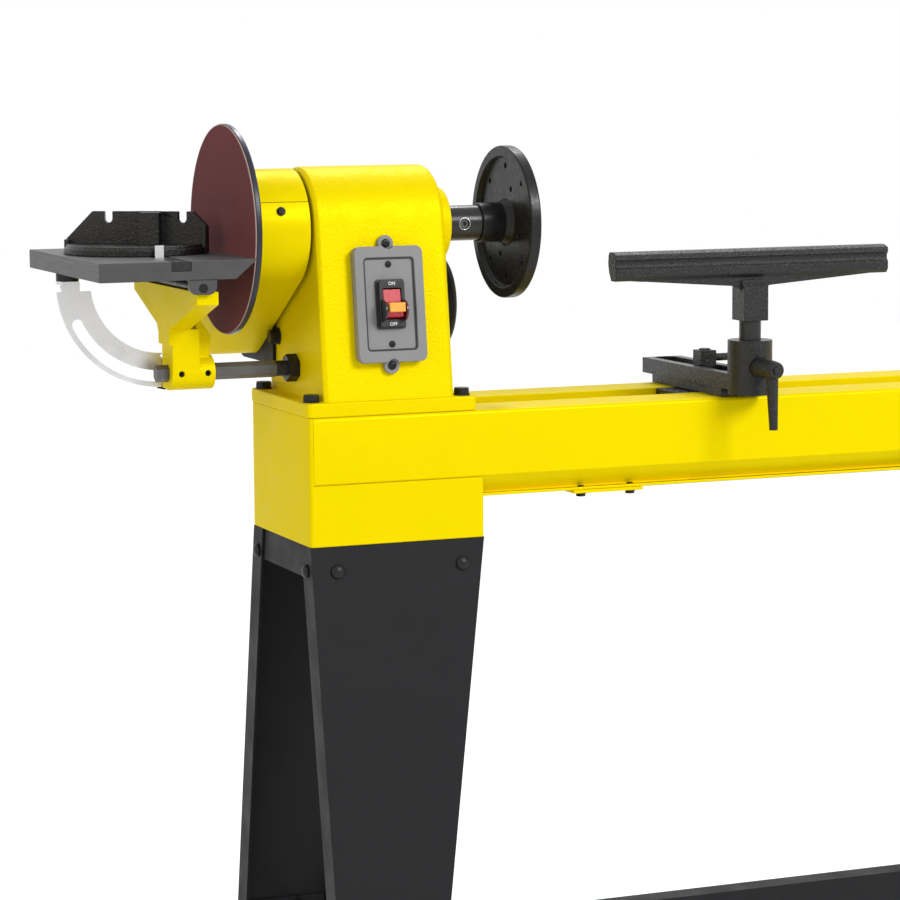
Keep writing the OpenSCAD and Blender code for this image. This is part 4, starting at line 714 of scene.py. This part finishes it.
# Rings of the hole's worn rim: reach beyond the hole and rise over the nose
RIM_RINGS = ((-0.05, -0.9), (0.35, 0.16), (1.2, 0.14), (1.3, -0.3))
RIM_SIDES = 40
# The grub screw in the hole: depth of its face, and radius and height of its form
SCREW_DEPTH = 2.2
SCREW_PROFILE = ((4.9, -6), (4.9, -0.5), (4.3, 0), (2.4, 0), (2.2, -0.4), (2.2, -3))


def make_spindle_screw():
    """The rim of the spindle's cross hole, which follows the round nose, and the screw in it."""
    body = BODY_OF["spindle"]
    verts = []
    for beyond, rise in RIM_RINGS:
        radius = HOLE_RADIUS + beyond
        for i in range(RIM_SIDES):
            angle = 2 * math.pi * i / RIM_SIDES
            along, up = radius * math.cos(angle), radius * math.sin(angle)
            reach = math.sqrt(SPINDLE_RADIUS**2 - up**2) + rise
            verts.append(drawn(HOLE_X + along, -reach, SPINDLE_LEVEL + up))
    faces = []
    for row in range(len(RIM_RINGS)):
        for i in range(RIM_SIDES):
            j = (i + 1) % RIM_SIDES
            a, b = row * RIM_SIDES, (row + 1) % len(RIM_RINGS) * RIM_SIDES
            faces.append((a + i, a + j, b + j, b + i))
    make_piece("spindle_hole_rim", verts, faces, MATERIALS["bright_steel"], body)
    face = drawn(HOLE_X, -SPINDLE_RADIUS + SCREW_DEPTH, SPINDLE_LEVEL)
    turn = Matrix.Rotation(math.radians(90), 4, "X")
    placing = in_millimetres(Matrix.Translation(face) @ turn)
    turned_piece(
        "spindle_screw", SCREW_PROFILE, placing, MATERIALS["drawn_steel"], body
    )


make_spindle_screw()

# Bright plate on the mitre bar's upright: the upright's front in the drawing's millimetres,
# then the plate's height, half width, reach over the bar's top, hold in the upright, and sheet
POINTER_FRONT = -44.0
POINTER_HEIGHT = 11.6 * MM
POINTER_HALF = 4.4 * MM
POINTER_OVER = 0.1 * MM
POINTER_BACK = 0.02 * MM
POINTER_SHEET = 0.5 * MM
POINTER_EDGE = 0.15


def make_pointer():
    """The bright plate that the mitre scale is read against."""
    low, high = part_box("mitre_bar")
    middle = (low.x + high.x) / 2
    bottom, top = high.z - POINTER_HEIGHT, high.z + POINTER_OVER
    corners = [
        (middle - POINTER_HALF, bottom), (middle + POINTER_HALF, bottom),
        (middle + POINTER_HALF, top), (middle - POINTER_HALF, top),
    ]
    front = drawn(0, POINTER_FRONT, 0).y
    turn = Matrix.Rotation(math.radians(90), 4, "X")
    solid_piece(
        "mitre_pointer", corners, -front - POINTER_BACK, -front + POINTER_SHEET, turn,
        MATERIALS["zinc_plate"], BODY_OF["mitre_bar"], edge=POINTER_EDGE,
    )


make_pointer()

# Stage, light and camera

AMBIENT = 0.5
FLOOR_REACH = 9.0
FLOOR_GLOW = 0.6
# Name, place, target, size, power and colour of each lamp
LAMPS = (
    ("key", (1.2, -3.2, 3.0), (-0.3, 0, 0.8), (1.3, 1.3), 88, (1, 1, 1)),
    ("fill", (-3.4, -1.2, 1.8), (-0.5, 0, 0.8), (1.4, 1.8), 18, (1.0, 0.86, 0.66)),
    ("rim", (0.4, 1.7, 3.1), (-0.1, 0, 0.9), (0.6, 0.6), 22, (1, 1, 1)),
)


def seen_ray(tree):
    """One where the camera, gloss or glass looks at a surface, and zero where light falls on it."""
    path = tree.nodes.new("ShaderNodeLightPath")
    seen = path.outputs["Is Camera Ray"]
    for kind in ("Is Glossy Ray", "Is Transmission Ray"):
        either = tree.nodes.new("ShaderNodeMath")
        either.operation = "MAXIMUM"
        tree.links.new(seen, either.inputs[0])
        tree.links.new(path.outputs[kind], either.inputs[1])
        seen = either.outputs[0]
    return seen


def make_floor():
    """A pale floor that reads as white where it is lit and keeps the object's shadow."""
    mesh = bpy.data.meshes.new("floor")
    corners = [
        (x * FLOOR_REACH, y * FLOOR_REACH, 0) for x, y in ((-1, -1), (1, -1), (1, 1), (-1, 1))
    ]
    mesh.from_pydata(corners, [], [(0, 1, 2, 3)])
    floor = bpy.data.objects.new("floor", mesh)
    bpy.context.scene.collection.objects.link(floor)
    material = bpy.data.materials.new("floor_white")
    material.use_nodes = True
    tree = material.node_tree
    principled = tree.nodes["Principled BSDF"]
    principled.inputs["Base Color"].default_value = (0.8, 0.8, 0.8, 1)
    principled.inputs["Roughness"].default_value = 0.9
    output = tree.nodes["Material Output"]
    glow = tree.nodes.new("ShaderNodeEmission")
    glow.inputs["Strength"].default_value = FLOOR_GLOW
    dark = tree.nodes.new("ShaderNodeEmission")
    dark.inputs["Strength"].default_value = 0.0
    lift = tree.nodes.new("ShaderNodeMixShader")
    tree.links.new(seen_ray(tree), lift.inputs["Fac"])
    tree.links.new(dark.outputs[0], lift.inputs[1])
    tree.links.new(glow.outputs[0], lift.inputs[2])
    total = tree.nodes.new("ShaderNodeAddShader")
    tree.links.new(principled.outputs[0], total.inputs[0])
    tree.links.new(lift.outputs[0], total.inputs[1])
    tree.links.new(total.outputs[0], output.inputs["Surface"])
    mesh.materials.append(material)


def make_world():
    """Even light from all round, and plain white where it is seen past the object."""
    world = bpy.data.worlds.new("studio")
    bpy.context.scene.world = world
    world.use_nodes = True
    tree = world.node_tree
    tree.nodes.clear()
    output = tree.nodes.new("ShaderNodeOutputWorld")
    mix = tree.nodes.new("ShaderNodeMixShader")
    lamp = tree.nodes.new("ShaderNodeBackground")
    shown = tree.nodes.new("ShaderNodeBackground")
    lamp.inputs["Color"].default_value = (1, 1, 1, 1)
    lamp.inputs["Strength"].default_value = AMBIENT
    shown.inputs["Color"].default_value = (1, 1, 1, 1)
    shown.inputs["Strength"].default_value = 1.0
    tree.links.new(seen_ray(tree), mix.inputs["Fac"])
    tree.links.new(lamp.outputs[0], mix.inputs[1])
    tree.links.new(shown.outputs[0], mix.inputs[2])
    tree.links.new(mix.outputs[0], output.inputs["Surface"])


def area_lamp(name, place, target, size, power, colour):
    """A soft lamp that points at its target."""
    data = bpy.data.lights.new(name, "AREA")
    data.shape = "RECTANGLE"
    data.size = size[0]
    data.size_y = size[1]
    data.energy = power
    data.color = colour
    lamp = bpy.data.objects.new(name, data)
    bpy.context.scene.collection.objects.link(lamp)
    lamp.location = place
    lamp.rotation_euler = (Vector(target) - Vector(place)).to_track_quat("-Z", "Y").to_euler()


def make_camera():
    """The photograph's camera."""
    data = bpy.data.cameras.new("camera")
    data.sensor_width = SENSOR
    data.lens = CAMERA_LENS
    data.clip_end = 50
    camera = bpy.data.objects.new("camera", data)
    bpy.context.scene.collection.objects.link(camera)
    turn = (
        Matrix.Rotation(-CAMERA_YAW, 4, "Z")
        @ Matrix.Rotation(math.pi / 2 - CAMERA_PITCH, 4, "X")
        @ Matrix.Rotation(CAMERA_ROLL, 4, "Z")
    )
    camera.matrix_world = Matrix.Translation(CAMERA_PLACE) @ turn
    bpy.context.scene.camera = camera


make_floor()
make_world()
make_camera()
for lamp_facts in LAMPS:
    area_lamp(*lamp_facts)
bpy.context.scene.view_settings.view_transform = "Standard"

bpy.context.view_layer.update()
